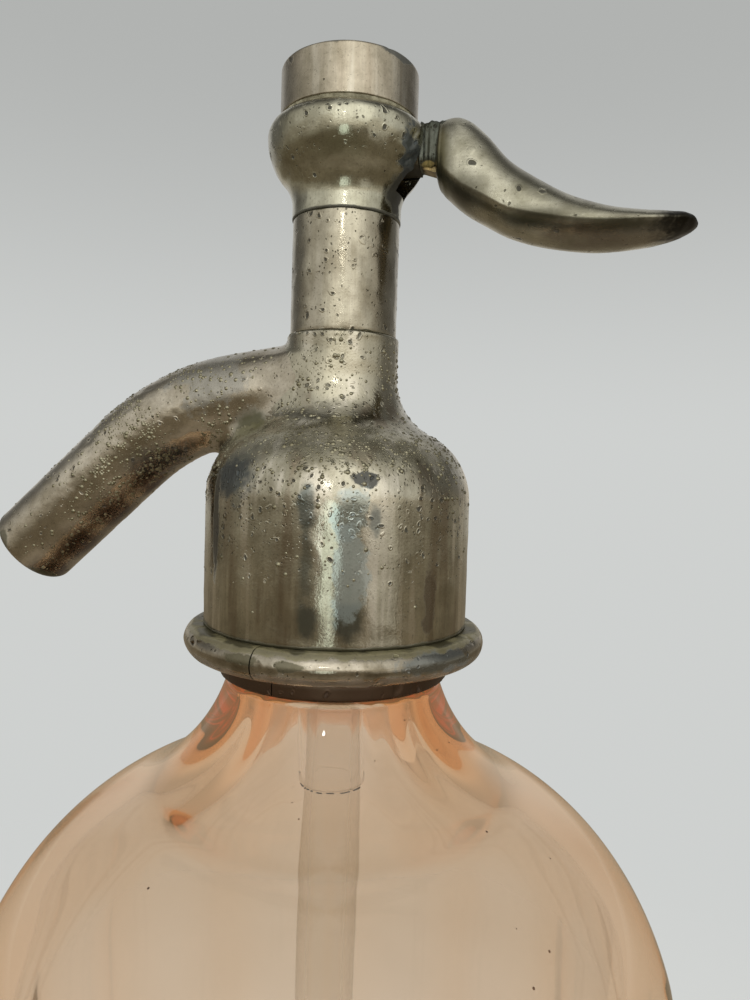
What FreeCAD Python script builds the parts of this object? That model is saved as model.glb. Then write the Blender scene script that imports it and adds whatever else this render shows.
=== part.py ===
import FreeCAD, Part
import Sketcher
import math
import os
import re

# Soda siphon with a side lever: a panelled glass bottle, a split collar round its
# neck, and a cast head with spout, column, lever housing and cap.
#
# Frame: millimetres, +Z up, the origin is the centre of the bottle's foot on the
# surface it stands on. The lever points to +X and the spout to -X.
#
# Sizes holds the driving dimensions, Levels the heights, radii and tangent points
# worked out from them. Every body is drawn from its own seat upwards, and its
# Placement carries it to that seat.

doc = FreeCAD.newDocument("SodaSiphon")
vector = FreeCAD.Vector

SIZES = [
    # bottle
    ("bottle_height", 241.0, "foot to lip"),
    ("bottle_radius", 56.7, "radius of the round body between two panels"),
    ("panel_depth", 1.5, "how deep a panel is ground into the round body"),
    ("panel_count", 12, "flat panels round the body"),
    ("panel_turn", -4.6, "turn of the panels from +X, degrees"),
    ("glass_wall", 6.8, "wall of the bottle"),
    ("shoulder_drop", 76.0, "lip down to the centre of the shoulder's arc"),
    ("shoulder_arc", 40.9, "radius of the shoulder's arc"),
    ("neck_radius", 16.3, "neck where its hollow would stand upright, above the shelf"),
    ("neck_blend", 28.9, "hollow between neck and shoulder"),
    ("throat_blend", 20.0, "hollow between mouth and inner shoulder"),
    ("ledge_drop", 20.9, "lip down to the shelf of the neck under the collar"),
    ("ledge_round", 0.8, "rounding of that shelf"),
    ("waist_radius", 14.9, "groove that the collar grips"),
    ("lip_radius", 17.4, "lip above the groove"),
    ("lip_height", 5.5, "height of the lip"),
    ("lip_round", 1.2, "rounding of the lip"),
    ("mouth_radius", 10.5, "bore of the neck"),
    ("heel_arc", 9.0, "rounding from body to foot"),
    ("foot_inner", 37.0, "inner edge of the foot ring"),
    ("punt_height", 9.0, "hollow under the foot"),
    ("floor_height", 12.0, "inside floor next to the wall"),
    ("floor_dome", 8.0, "rise of the inside floor to its middle"),
    ("floor_arc", 10.0, "rounding from wall to floor inside"),
    # collar, liner and gasket
    ("seat_gap", 0.05, "radial clearance of pieces that sit in one another"),
    ("liner_wall", 0.7, "sleeve between collar and glass"),
    ("skirt_height", 5.9, "middle of the bead down to the collar's lower edge"),
    ("skirt_radius", 18.7, "collar below its bead"),
    ("bead_drop", 14.3, "lip down to the middle of the bead"),
    ("bead_radius", 24.5, "bead at its widest"),
    ("bead_arc", 2.5, "half the thickness of the bead"),
    ("thread_radius", 19.4, "collar inside the bell"),
    ("collar_split", 0.5, "gap between the two halves, degrees"),
    ("split_turn", -103.5, "turn of the split from +X, degrees"),
    ("gasket_height", 2.2, "ring between lip and bell"),
    # head casting
    ("bell_radius", 21.5, "outside of the bell"),
    ("bell_arc", 11.5, "rounding of the bell's shoulder"),
    ("bell_turn_rise", 6.3, "ceiling inside up to the top of the bell's straight wall"),
    ("column_blend", 10.0, "hollow between bell and neck"),
    ("column_radius", 9.1, "lower neck"),
    ("column_rise", 32.2, "ceiling inside up to the joint under the sleeve"),
    ("spigot_height", 5.8, "threaded end inside the sleeve"),
    ("spigot_radius", 7.1, "threaded ends inside the sleeve"),
    ("chamber_radius", 5.2, "bore round the valve"),
    ("packing_radius", 5.9, "bore round the packing"),
    ("tube_seat_radius", 7.4, "recess over the dip tube's flange"),
    ("line_chamfer", 0.3, "edge break at the joint lines"),
    # spout
    ("spout_radius", 7.5, "outside of the spout"),
    ("spout_bore", 4.6, "inside of the spout"),
    ("spout_drop", 7.2, "that joint down to where the spout's line meets the axis"),
    ("spout_lead", 8.5, "fall of the stub, degrees"),
    ("spout_fall", 42.1, "fall of the outer end, degrees"),
    ("spout_lead_length", 17.0, "axis to the start of the bend"),
    ("spout_bend", 40.0, "bend radius at the middle of the spout"),
    ("spout_seam", 12.0, "how far into the bend the seam lies, degrees"),
    ("spout_end_length", 26.3, "straight outer end"),
    ("stub_fillet", 2.0, "hollow between stub and head"),
    # sleeve, housing and cap
    ("sleeve_radius", 8.65, "outside of the sleeve"),
    ("sleeve_height", 18.4, "length of the sleeve"),
    ("housing_foot_radius", 8.8, "foot of the lever housing"),
    ("bulb_height", 12.6, "foot of the housing to its widest place"),
    ("bulb_radius", 13.0, "housing at its widest"),
    ("bulb_lower_arc", 9.5, "rounding below the widest place"),
    ("bulb_upper_arc", 2.55, "rounding above the widest place"),
    ("bulb_foot_blend", 6.0, "hollow between bulb and foot"),
    ("mouth_lip", 0.1, "straight lip above the upper rounding"),
    ("housing_floor", 2.0, "floor between spring and lever"),
    ("lever_room", 7.6, "bore round the lever's inner end"),
    ("mouth_room", 8.5, "bore for the cap's spigot"),
    ("mouth_depth", 1.6, "depth of that bore"),
    ("slot_width", 6.0, "slot for the lever"),
    ("slot_bottom", 3.0, "foot of the housing to the slot"),
    ("slot_top", 16.5, "foot of the housing to above its mouth, where the slot runs out"),
    ("washer_height", 0.6, "washer under the cap"),
    ("cap_radius", 11.05, "outside of the cap"),
    ("cap_height", 7.72, "cap above its washer"),
    ("cap_spigot", 1.4, "length of the cap's spigot"),
    ("cap_wall", 2.4, "top of the cap"),
    ("cap_recess_radius", 8.4, "dished top of the cap"),
    ("cap_recess", 0.8, "depth of that dish"),
    ("cap_round", 0.5, "rounding of the cap's rim"),
    ("key_hole", 1.2, "holes for the two-pin key"),
    ("key_hole_depth", 1.1, "depth of the key holes"),
    ("key_hole_place", 5.4, "axis to a key hole"),
    # water way
    ("tube_radius", 4.6, "outside of the dip tube"),
    ("tube_bore", 2.8, "inside of the dip tube"),
    ("tube_clear", 4.0, "end of the dip tube above the inside floor"),
    ("tube_flange_radius", 7.0, "flange of the dip tube"),
    ("tube_flange_height", 1.8, "height of that flange"),
    ("sheath_radius", 5.5, "clear sheath round the top of the tube"),
    ("sheath_length", 36.1, "length of that sheath"),
    ("bung_height", 6.5, "rubber bung in the mouth"),
    ("bung_taper", 0.6, "how much slimmer the bung is at its foot"),
    ("seat_washer_height", 1.2, "washer between tube and valve seat"),
    ("nozzle_radius", 5.9, "valve seat's body"),
    ("nozzle_height", 7.5, "valve seat's body and rim"),
    ("nozzle_bore", 2.6, "bore of the valve seat"),
    ("nozzle_rim", 3.6, "rim that the valve closes"),
    ("nozzle_rim_height", 1.0, "height of that rim"),
    # valve
    ("valve_gap", 0.1, "valve washer above its rim at rest"),
    ("valve_washer_radius", 3.9, "rubber washer of the valve"),
    ("valve_washer_height", 1.8, "thickness of that washer"),
    ("cup_radius", 4.5, "brass cup that holds it"),
    ("cup_height", 4.6, "height of that cup"),
    ("cup_lip", 1.2, "how far the cup reaches down the washer"),
    ("rod_radius", 2.0, "valve rod"),
    ("rod_neck", 1.2, "rod where the lever's fork straddles it"),
    ("rod_running_gap", 0.05, "rod in its gland"),
    ("packing_height", 4.0, "leather packing"),
    ("gland_height", 4.4, "gland nut in its bore"),
    ("gland_flange", 6.6, "flange of the gland nut"),
    ("gland_flange_height", 1.8, "height of that flange"),
    ("spring_wire", 0.8, "wire of the spring"),
    ("spring_radius", 3.7, "middle of the spring's wire"),
    ("spring_turns", 5.0, "turns of the spring"),
    ("spring_collar_radius", 4.7, "collar that the spring pushes"),
    ("spring_collar_height", 1.5, "height of that collar"),
    ("spring_room", 5.1, "bore round the spring"),
    ("nut_height", 2.6, "lifting nut"),
    ("nut_flats", 6.2, "lifting nut across its flats"),
    ("rod_end", 1.0, "rod above the lifting nut"),
    # lever
    ("pin_place", 9.0, "axis to the lever's pin"),
    ("pin_height", 10.6, "foot of the housing to the lever's pin"),
    ("pin_radius", 1.25, "lever pin"),
    ("pin_length", 15.0, "pin, whose ends lie sunk in the cheeks"),
    ("pin_running_gap", 0.05, "pin in the lever"),
    ("tongue_width", 5.4, "brass tongue"),
    ("fork_gap", 0.35, "tongue's fork beside the rod"),
    ("fork_depth", 3.6, "axis to the bottom of the fork"),
    ("fork_tip", 1.3, "rounding of the fork's tip"),
    ("lift_gap", 0.3, "play between fork and lifting nut"),
    ("shoulder_gap", 2.6, "rod's shoulder to the fork's play"),
    ("rod_chamfer", 0.4, "bevel of the rod's shoulder"),
    ("collar_play", 0.4, "gland nut to the spring's collar"),
    ("eye_radius", 2.6, "tongue round the pin"),
    ("tang_length", 24.0, "axis to the end of the tang"),
    ("tang_fall", 3.2, "fall of the tang to its end"),
    ("tang_height", 3.4, "height of the tang"),
    ("lever_root", 12.0, "axis to the handle's root"),
    ("root_reach", 17.0, "axis to the end of the root block"),
    ("root_bottom", 7.8, "foot of the housing to the root's underside"),
    ("root_top", 15.2, "foot of the housing to the root's top"),
    ("root_width", 5.2, "root block between the cheeks"),
    ("tang_width", 2.6, "tang inside the handle"),
]

# Sections of the handle: distance from the siphon's axis, height of the middle
# above the pin, half height, half width, and the slope where side and top meet
HANDLE = [
    ("a", 14.6, -0.2, 4.7, 3.5, 45),
    ("b", 16.4, -1.0, 6.0, 4.9, 45),
    ("c", 19.2, -2.35, 7.0, 5.6, 45),
    ("d", 22.3, -4.55, 6.65, 5.9, 45),
    ("e", 25.6, -7.3, 5.65, 6.1, 45),
    ("f", 29.5, -9.4, 4.9, 6.35, 45),
    ("g", 34.5, -11.4, 3.95, 6.7, 45),
    ("h", 40.2, -12.7, 3.1, 6.8, 42),
    ("i", 45.5, -13.0, 2.45, 6.5, 38),
    ("j", 49.5, -12.85, 1.95, 5.5, 36),
    ("k", 51.8, -12.6, 1.5, 4.1, 35),
    ("l", 53.1, -12.55, 0.85, 2.2, 34),
    ("m", 53.6, -12.6, 0.45, 1.1, 34),
]
for letter, place, middle, half_height, half_width, corner in HANDLE:
    SIZES += [
        ("place_" + letter, place, "handle section: axis to section"),
        ("middle_" + letter, middle, "handle section: middle above the pin"),
        ("tall_" + letter, half_height, "handle section: half height"),
        ("wide_" + letter, half_width, "handle section: half width"),
        ("corner_" + letter, corner, "handle section: slope at its corners, degrees"),
    ]

sheet = doc.addObject("Spreadsheet::Sheet", "Sizes")
for row, (alias, value, meaning) in enumerate(SIZES, start=1):
    sheet.set(f"A{row}", meaning)
    sheet.set(f"B{row}", str(value))
    sheet.setAlias(f"B{row}", alias)
doc.recompute()

LEVELS = [
    # bottle
    ("panel_flat", "bottle_radius - panel_depth"),
    ("shoulder_height", "bottle_height - shoulder_drop"),
    ("ledge_height", "bottle_height - ledge_drop"),
    ("bead_height", "bottle_height - bead_drop"),
    ("collar_bottom", "bead_height - skirt_height"),
    ("shoulder_centre", "bottle_radius - shoulder_arc"),
    ("inner_radius", "bottle_radius - glass_wall"),
    ("inner_arc", "shoulder_arc - glass_wall"),
    ("neck_reach", "neck_radius + neck_blend - shoulder_centre"),
    ("neck_rise", "sqrt((shoulder_arc + neck_blend)^2 - neck_reach^2)"),
    ("neck_share", "shoulder_arc / (shoulder_arc + neck_blend)"),
    ("neck_over", "shoulder_height + neck_rise - ledge_height + ledge_round"),
    ("ledge_radius", "neck_radius + neck_blend - sqrt(neck_blend^2 - neck_over^2)"),
    ("throat_reach", "mouth_radius + throat_blend - shoulder_centre"),
    ("throat_rise", "sqrt((inner_arc + throat_blend)^2 - throat_reach^2)"),
    ("throat_share", "inner_arc / (inner_arc + throat_blend)"),
    ("lip_bottom", "bottle_height - lip_height"),
    ("punt_arc", "(foot_inner^2 + punt_height^2) / (2 * punt_height)"),
    ("dome_reach", "inner_radius - floor_arc"),
    ("dome_arc", "(dome_reach^2 + floor_dome^2) / (2 * floor_dome)"),
    # collar
    ("liner_outer", "waist_radius + seat_gap + liner_wall"),
    ("collar_bore", "liner_outer + seat_gap"),
    ("bell_bottom", "bead_height + 0.92 * bead_arc"),
    ("bead_middle", "bead_radius - bead_arc"),
    ("bead_top_reach", "bead_arc * sqrt(1 - 0.92^2)"),
    ("ceiling", "bottle_height + gasket_height"),
    ("bell_turn_height", "ceiling + bell_turn_rise"),
    ("column_line", "ceiling + column_rise"),
    ("spout_height", "column_line - spout_drop"),
    # head casting
    ("bell_centre", "bell_radius - bell_arc"),
    ("blend_reach", "column_radius + column_blend - bell_centre"),
    ("blend_rise", "sqrt((bell_arc + column_blend)^2 - blend_reach^2)"),
    ("blend_share", "bell_arc / (bell_arc + column_blend)"),
    ("tube_seat_top", "ceiling + tube_flange_height + seat_washer_height"),
    ("nozzle_top", "tube_seat_top + nozzle_height"),
    ("packing_bottom", "column_line + spigot_height - gland_height - packing_height"),
    # spout, as height and distance from the axis along -X
    ("bend_start_x", "-spout_lead_length * cos(spout_lead * 1 deg)"),
    ("bend_start_z", "spout_height - spout_lead_length * sin(spout_lead * 1 deg)"),
    ("bend_centre_x", "bend_start_x + spout_bend * sin(spout_lead * 1 deg)"),
    ("bend_centre_z", "bend_start_z - spout_bend * cos(spout_lead * 1 deg)"),
    ("seam_angle", "spout_lead + spout_seam"),
    ("seam_x", "bend_centre_x - spout_bend * sin(seam_angle * 1 deg)"),
    ("seam_z", "bend_centre_z + spout_bend * cos(seam_angle * 1 deg)"),
    ("bend_end_x", "bend_centre_x - spout_bend * sin(spout_fall * 1 deg)"),
    ("bend_end_z", "bend_centre_z + spout_bend * cos(spout_fall * 1 deg)"),
    ("tip_x", "bend_end_x - spout_end_length * cos(spout_fall * 1 deg)"),
    ("tip_z", "bend_end_z - spout_end_length * sin(spout_fall * 1 deg)"),
    # column
    ("housing_seat", "column_line + sleeve_height"),
    ("upper_centre", "bulb_radius - bulb_upper_arc"),
    ("mouth_rise", "sqrt(bulb_upper_arc^2 - (cap_radius - upper_centre)^2)"),
    ("housing_height", "bulb_height + mouth_rise + mouth_lip"),
    ("washer_seat", "housing_seat + housing_height"),
    ("cap_seat", "washer_seat + washer_height"),
    ("sleeve_bore", "spigot_radius + seat_gap"),
    # lever housing, from its foot
    ("lower_centre", "bulb_radius - bulb_lower_arc"),
    ("foot_reach", "housing_foot_radius + bulb_foot_blend - lower_centre"),
    ("foot_rise", "sqrt((bulb_lower_arc + bulb_foot_blend)^2 - foot_reach^2)"),
    ("foot_share", "bulb_lower_arc / (bulb_lower_arc + bulb_foot_blend)"),
    ("room_bottom", "slot_bottom + 0.6"),
    # valve
    ("washer_rest", "nozzle_top + valve_gap"),
    ("cup_rest", "washer_rest + valve_washer_height - cup_lip"),
    ("rod_rest", "cup_rest + cup_height"),
    ("gland_seat", "packing_bottom + packing_height"),
    ("collar_rest", "column_line + spigot_height + gland_flange_height + collar_play"),
    ("spring_rest", "collar_rest + spring_collar_height"),
    ("spring_stop", "housing_seat + room_bottom - housing_floor"),
    ("spring_length", "spring_stop - spring_rest - 2 * seat_gap"),
    ("pin_level", "housing_seat + pin_height"),
    ("nut_rest", "pin_level + fork_tip + lift_gap"),
    ("rod_shoulder", "pin_level - fork_tip - lift_gap - shoulder_gap"),
    ("rod_top", "nut_rest + nut_height + rod_end"),
]

for letter, *_ in HANDLE:
    half = f"tan(corner_{letter} * 0.5 deg)"
    sine = f"sin(corner_{letter} * 1 deg)"
    cosine = f"cos(corner_{letter} * 1 deg)"
    LEVELS += [
        ("side_" + letter,
         f"(tall_{letter} - {half} * wide_{letter}) / ({cosine} - {half} * (1 - {sine}))"),
        ("back_" + letter, f"(wide_{letter} - side_{letter} * (1 - {sine})) / {sine}"),
        ("across_" + letter, f"back_{letter} * {sine}"),
        ("up_" + letter, f"side_{letter} * {cosine}"),
    ]

FUNCTIONS = {"sqrt", "sin", "cos", "tan", "pi", "deg"}
size_names = {alias for alias, _, _ in SIZES}
level_names = {name for name, _ in LEVELS}


def full(expression):
    """The expression with each name led by the object that holds it."""
    def lead(match):
        name = match.group(0)
        if name in size_names:
            return "Sizes." + name
        if name in level_names:
            return "Levels." + name
        if name in FUNCTIONS:
            return name
        raise ValueError("unknown name in an expression: " + name)
    return re.sub(r"[a-z][a-z_]*", lead, str(expression))


levels = doc.addObject("App::VarSet", "Levels")
for level, expression in LEVELS:
    levels.addProperty("App::PropertyFloat", level, "Levels", expression)
    levels.setExpression(level, full(expression))
doc.recompute()


def number(expression):
    """The value of an expression on sizes and levels."""
    result = sheet.evalExpression(full(expression))
    return float(getattr(result, "Value", result))


def bind(item, path, expression):
    """Tie a property of an object to an expression."""
    item.setExpression(path, full(expression))


# ---------------------------------------------------------------------------
# Sketching
# ---------------------------------------------------------------------------

def origin_feature(body, role):
    """The body's own origin plane or axis."""
    return next(item for item in body.Origin.OriginFeatures if item.Role == role)


def new_sketch(body, role, name):
    """An empty sketch on one of the body's origin planes."""
    sketch = body.newObject("Sketcher::SketchObject", name)
    sketch.AttachmentSupport = [(origin_feature(body, role), "")]
    sketch.MapMode = "FlatFace"
    return sketch


def place_point(sketch, geometry, end, axis, expression):
    """Hold one coordinate of a point at an expression."""
    value = number(expression)
    kind = "DistanceX" if axis == "x" else "DistanceY"
    if abs(value) < 1e-9:
        other = -2 if axis == "x" else -1
        sketch.addConstraint(Sketcher.Constraint("PointOnObject", geometry, end, other))
        return
    if value > 0:
        rule = Sketcher.Constraint(kind, -1, 1, geometry, end, value)
        text = expression
    else:
        rule = Sketcher.Constraint(kind, geometry, end, -1, 1, -value)
        text = f"-({expression})"
    index = sketch.addConstraint(rule)
    sketch.setExpression(f"Constraints[{index}]", full(text))


def arc_between(start, finish, radius, turn):
    """The minor arc from start to finish; turn +1 keeps its centre on the left."""
    chord = finish - start
    across = vector(-chord.y, chord.x, 0).normalize()
    rise = math.sqrt(max(radius ** 2 - (chord.Length / 2) ** 2, 0.0))
    centre = (start + finish) * 0.5 + across * (turn * rise)
    first, last = (start, finish) if turn > 0 else (finish, start)
    begin = math.atan2(first.y - centre.y, first.x - centre.x)
    end = math.atan2(last.y - centre.y, last.x - centre.x)
    return Part.ArcOfCircle(Part.Circle(centre, vector(0, 0, 1), radius), begin, end)


def draw_path(sketch, corners, closed=True):
    """Draw a chain of lines and arcs through corners and bind all of it.

    A corner is (x, y) for a line to it, or (x, y, radius, turn) for an arc to it.
    """
    points = [vector(number(c[0]), number(c[1]), 0) for c in corners]
    count = len(corners)
    order = range(count) if closed else range(1, count)
    ends = []
    for here in order:
        before = here - 1
        corner = corners[here]
        if len(corner) == 2:
            shape = Part.LineSegment(points[before], points[here])
            ends.append((sketch.addGeometry(shape), 1, 2))
            continue
        radius, turn = corner[2], corner[3]
        shape = arc_between(points[before], points[here], number(radius), turn)
        index = sketch.addGeometry(shape)
        ends.append((index, 1, 2) if turn > 0 else (index, 2, 1))
    for (index, _, last), (following, first, _) in zip(ends, ends[1:]):
        sketch.addConstraint(Sketcher.Constraint("Coincident", index, last, following, first))
    if closed:
        sketch.addConstraint(Sketcher.Constraint("Coincident", ends[-1][0], ends[-1][2],
                                                 ends[0][0], ends[0][1]))
    if not closed:
        place_point(sketch, ends[0][0], ends[0][1], "x", corners[0][0])
        place_point(sketch, ends[0][0], ends[0][1], "y", corners[0][1])
    for here, (index, _, last) in zip(order, ends):
        corner = corners[here]
        place_point(sketch, index, last, "x", corner[0])
        place_point(sketch, index, last, "y", corner[1])
        if len(corner) == 4:
            rule = sketch.addConstraint(Sketcher.Constraint("Radius", index, number(corner[2])))
            sketch.setExpression(f"Constraints[{rule}]", full(corner[2]))
    return sketch


def draw_circle(sketch, x, y, radius):
    """A circle bound to its centre and radius."""
    centre = vector(number(x), number(y), 0)
    shape = Part.Circle(centre, vector(0, 0, 1), number(radius))
    index = sketch.addGeometry(shape)
    place_point(sketch, index, 3, "x", x)
    place_point(sketch, index, 3, "y", y)
    rule = sketch.addConstraint(Sketcher.Constraint("Radius", index, number(radius)))
    sketch.setExpression(f"Constraints[{rule}]", full(radius))
    return sketch


def box_corners(left, bottom, right, top):
    """The corners of an upright rectangle."""
    return [(left, bottom), (right, bottom), (right, top), (left, top)]


# ---------------------------------------------------------------------------
# Bodies and features
# ---------------------------------------------------------------------------

def new_body(label, seat):
    """A body whose own zero lies at its seat on the siphon's axis."""
    body = doc.addObject("PartDesign::Body", label)
    body.Label = label
    bind(body, "Placement.Base.z", seat)
    return body


def revolve(body, corners, angle=360):
    """Turn a half section about the siphon's axis."""
    sketch = draw_path(new_sketch(body, "XZ_Plane", body.Label + "_section"), corners)
    feature = body.newObject("PartDesign::Revolution", body.Label + "_turned")
    feature.Profile = sketch
    feature.ReferenceAxis = (sketch, ["V_Axis"])
    if angle == 360:
        feature.Angle = 360
    else:
        bind(feature, "Angle", angle)
    return feature


def turned(label, seat, corners):
    """A body that is one turned solid."""
    body = new_body(label, seat)
    revolve(body, corners)
    doc.recompute()
    return body


def ring(label, seat, inner, outer, height):
    """A plain turned ring."""
    return turned(label, seat, box_corners(inner, "0", outer, height))


def cut_through(body, sketch, name, width=None):
    """Pocket a sketch evenly to both sides: right through, or a given width."""
    pocket = body.newObject("PartDesign::Pocket", name)
    pocket.Profile = sketch
    pocket.SideType = "Symmetric"
    if width is None:
        pocket.Type = "ThroughAll"
    else:
        pocket.Type = "Length"
        bind(pocket, "Length", width)
    doc.recompute()
    return pocket


def round_edges(body, feature, name, kind, size, wanted):
    """Fillet or chamfer the edges of a feature that wanted picks."""
    names = [f"Edge{i}" for i, edge in enumerate(feature.Shape.Edges, start=1) if wanted(edge)]
    if not names:
        raise RuntimeError("no edge found for " + name)
    dressing = body.newObject("PartDesign::" + kind, name)
    dressing.Base = (feature, names)
    bind(dressing, "Radius" if kind == "Fillet" else "Size", size)
    doc.recompute()
    return dressing


def rim(radius, height):
    """A test for the round edge of that radius at that height."""
    want_radius, want_height = number(radius), number(height)

    def test(edge):
        curve = edge.Curve
        return (curve.TypeId == "Part::GeomCircle"
                and abs(curve.Radius - want_radius) < 1e-4
                and abs(curve.Center.z - want_height) < 1e-4)
    return test


# ---------------------------------------------------------------------------
# Bottle
# ---------------------------------------------------------------------------

def make_bottle():
    """Thick glass: turned inside and out, then cut with flat panels."""
    body = new_body("bottle", "0")
    bind(body, "Placement.Rotation.Angle", "panel_turn")
    outside = [
        ("bottle_radius - heel_arc", "0"),
        ("bottle_radius", "heel_arc", "heel_arc", 1),
        ("bottle_radius", "shoulder_height"),
        ("shoulder_centre + neck_reach * neck_share",
         "shoulder_height + neck_rise * neck_share", "shoulder_arc", 1),
        ("ledge_radius", "ledge_height - ledge_round", "neck_blend", -1),
        ("ledge_radius - ledge_round", "ledge_height", "ledge_round", 1),
        ("waist_radius", "ledge_height"),
        ("waist_radius", "lip_bottom"),
        ("lip_radius", "lip_bottom"),
        ("lip_radius", "bottle_height - lip_round"),
        ("lip_radius - lip_round", "bottle_height", "lip_round", 1),
    ]
    inside = [
        ("mouth_radius", "bottle_height"),
        ("mouth_radius", "shoulder_height + throat_rise"),
        ("shoulder_centre + throat_reach * throat_share",
         "shoulder_height + throat_rise * throat_share", "throat_blend", 1),
        ("inner_radius", "shoulder_height", "inner_arc", -1),
        ("inner_radius", "floor_height + floor_arc"),
        ("inner_radius - floor_arc", "floor_height", "floor_arc", -1),
        ("0", "floor_height + floor_dome", "dome_arc", 1),
        ("0", "punt_height"),
        ("foot_inner", "0", "punt_arc", -1),
    ]
    revolve(body, outside + inside)
    doc.recompute()
    # each panel is a flat plane that shaves the round body, so its top is an arch
    panel = new_sketch(body, "XY_Plane", "panel_outline")
    draw_path(panel, box_corners("panel_flat", "-panel_flat / 2",
                                 "bottle_radius + 5", "panel_flat / 2"))
    pocket = cut_through(body, panel, "panel")
    panels = body.newObject("PartDesign::PolarPattern", "panels")
    panels.Originals = [pocket]
    panels.Axis = (origin_feature(body, "Z_Axis"), [""])
    panels.Angle = 360
    bind(panels, "Occurrences", "panel_count")
    body.Tip = panels
    doc.recompute()
    return body


def make_collar_liner():
    """Soft sleeve in the groove of the neck."""
    return ring("collar_liner", "collar_bottom", "waist_radius + seat_gap", "liner_outer",
                "lip_bottom - collar_bottom")


def make_collar_half(label, turn):
    """Half of the split collar: skirt, bead and the threaded part in the bell."""
    body = new_body(label, "collar_bottom")
    bind(body, "Placement.Rotation.Angle", turn)
    section = [
        ("collar_bore", "0"),
        ("skirt_radius", "0"),
        ("skirt_radius", "bead_height - bead_arc - collar_bottom"),
        ("bead_middle", "bead_height - bead_arc - collar_bottom"),
        ("bead_radius", "bead_height - collar_bottom", "bead_arc", 1),
        ("bead_middle + bead_top_reach", "bell_bottom - collar_bottom", "bead_arc", 1),
        ("thread_radius", "bell_bottom - collar_bottom"),
        ("thread_radius", "lip_bottom - collar_bottom"),
        ("collar_bore", "lip_bottom - collar_bottom"),
    ]
    revolve(body, section, "180 - collar_split")
    doc.recompute()
    return body


def make_neck_gasket():
    """Rubber ring that the bell presses on the lip."""
    return ring("neck_gasket", "bottle_height", "mouth_radius + seat_gap",
                "lip_radius", "gasket_height")


# ---------------------------------------------------------------------------
# Head casting and spout
# ---------------------------------------------------------------------------

def tilted_circles(body, name, x, z, fall, radii):
    """Circles square to the spout's line where it passes x, z."""
    sketch = new_sketch(body, "YZ_Plane", name)
    bind(sketch, "AttachmentOffset.Base.y", f"{z}")
    bind(sketch, "AttachmentOffset.Base.z", f"{x}")
    sketch.AttachmentOffset = FreeCAD.Placement(
        sketch.AttachmentOffset.Base, FreeCAD.Rotation(vector(1, 0, 0), -number(fall)))
    bind(sketch, "AttachmentOffset.Rotation.Angle", f"-({fall})")
    for radius in radii:
        draw_circle(sketch, "0", "0", radius)
    return sketch


def sweep(body, kind, section, path, name):
    """Carry a section along a path, adding or removing."""
    pipe = body.newObject("PartDesign::" + kind, name)
    pipe.Profile = section
    pipe.Spine = (path, [f"Edge{i + 1}" for i in range(len(path.Shape.Edges))])
    doc.recompute()
    return pipe


def make_head_body():
    """One casting: bell, lower neck, threaded end and the stub of the spout."""
    body = new_body("head_body", "bell_bottom")
    foot = "bell_bottom"
    section = [
        ("thread_radius + seat_gap", "0"),
        ("bell_radius", "0"),
        ("bell_radius", f"bell_turn_height - {foot}"),
        ("bell_centre + blend_reach * blend_share",
         f"bell_turn_height + blend_rise * blend_share - {foot}", "bell_arc", 1),
        ("column_radius", f"bell_turn_height + blend_rise - {foot}", "column_blend", -1),
        ("column_radius", f"column_line - line_chamfer - {foot}"),
        ("column_radius - line_chamfer", f"column_line - {foot}"),
        ("spigot_radius", f"column_line - {foot}"),
        ("spigot_radius", f"column_line + spigot_height - {foot}"),
        ("0", f"column_line + spigot_height - {foot}"),
        ("0", f"ceiling - {foot}"),
        ("thread_radius + seat_gap", f"ceiling - {foot}"),
    ]
    revolve(body, section)
    doc.recompute()

    path = new_sketch(body, "XZ_Plane", "stub_line")
    draw_path(path, [
        ("0", f"spout_height - {foot}"),
        ("bend_start_x", f"bend_start_z - {foot}"),
        ("seam_x", f"seam_z - {foot}", "spout_bend", 1),
    ], closed=False)
    doc.recompute()
    outer = tilted_circles(body, "stub_section", "0", f"spout_height - {foot}",
                           "spout_lead", ["spout_radius"])
    doc.recompute()
    stub = sweep(body, "AdditivePipe", outer, path, "stub")
    near = number("column_radius") - 3.5

    def meets_head(edge):
        box = edge.BoundBox
        reach = max(abs(box.XMin), abs(box.XMax))
        inside = number(f"spout_height - spout_radius - 12 - {foot}") < box.ZMin
        return (edge.Curve.TypeId == "Part::GeomBSplineCurve"
                and box.XMax < 0 and reach > near and inside)
    blended = round_edges(body, stub, "stub_blend", "Fillet", "stub_fillet", meets_head)

    bores = [
        ("0", f"ceiling - {foot} - 1"),
        ("tube_seat_radius", f"ceiling - {foot} - 1"),
        ("tube_seat_radius", f"tube_seat_top - {foot}"),
        ("nozzle_radius + seat_gap", f"tube_seat_top - {foot}"),
        ("nozzle_radius + seat_gap", f"nozzle_top - nozzle_rim_height - {foot}"),
        ("chamber_radius", f"nozzle_top - nozzle_rim_height - {foot}"),
        ("chamber_radius", f"packing_bottom - {foot}"),
        ("packing_radius", f"packing_bottom - {foot}"),
        ("packing_radius", f"column_line + spigot_height + 1 - {foot}"),
        ("0", f"column_line + spigot_height + 1 - {foot}"),
    ]
    bore_sketch = draw_path(new_sketch(body, "XZ_Plane", "bore_section"), bores)
    groove = body.newObject("PartDesign::Groove", "bores")
    groove.Profile = bore_sketch
    groove.ReferenceAxis = (bore_sketch, ["V_Axis"])
    groove.Angle = 360
    doc.recompute()
    inner = tilted_circles(body, "stub_bore_section", "0", f"spout_height - {foot}",
                           "spout_lead", ["spout_bore"])
    doc.recompute()
    sweep(body, "SubtractivePipe", inner, path, "stub_bore")
    return body


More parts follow.
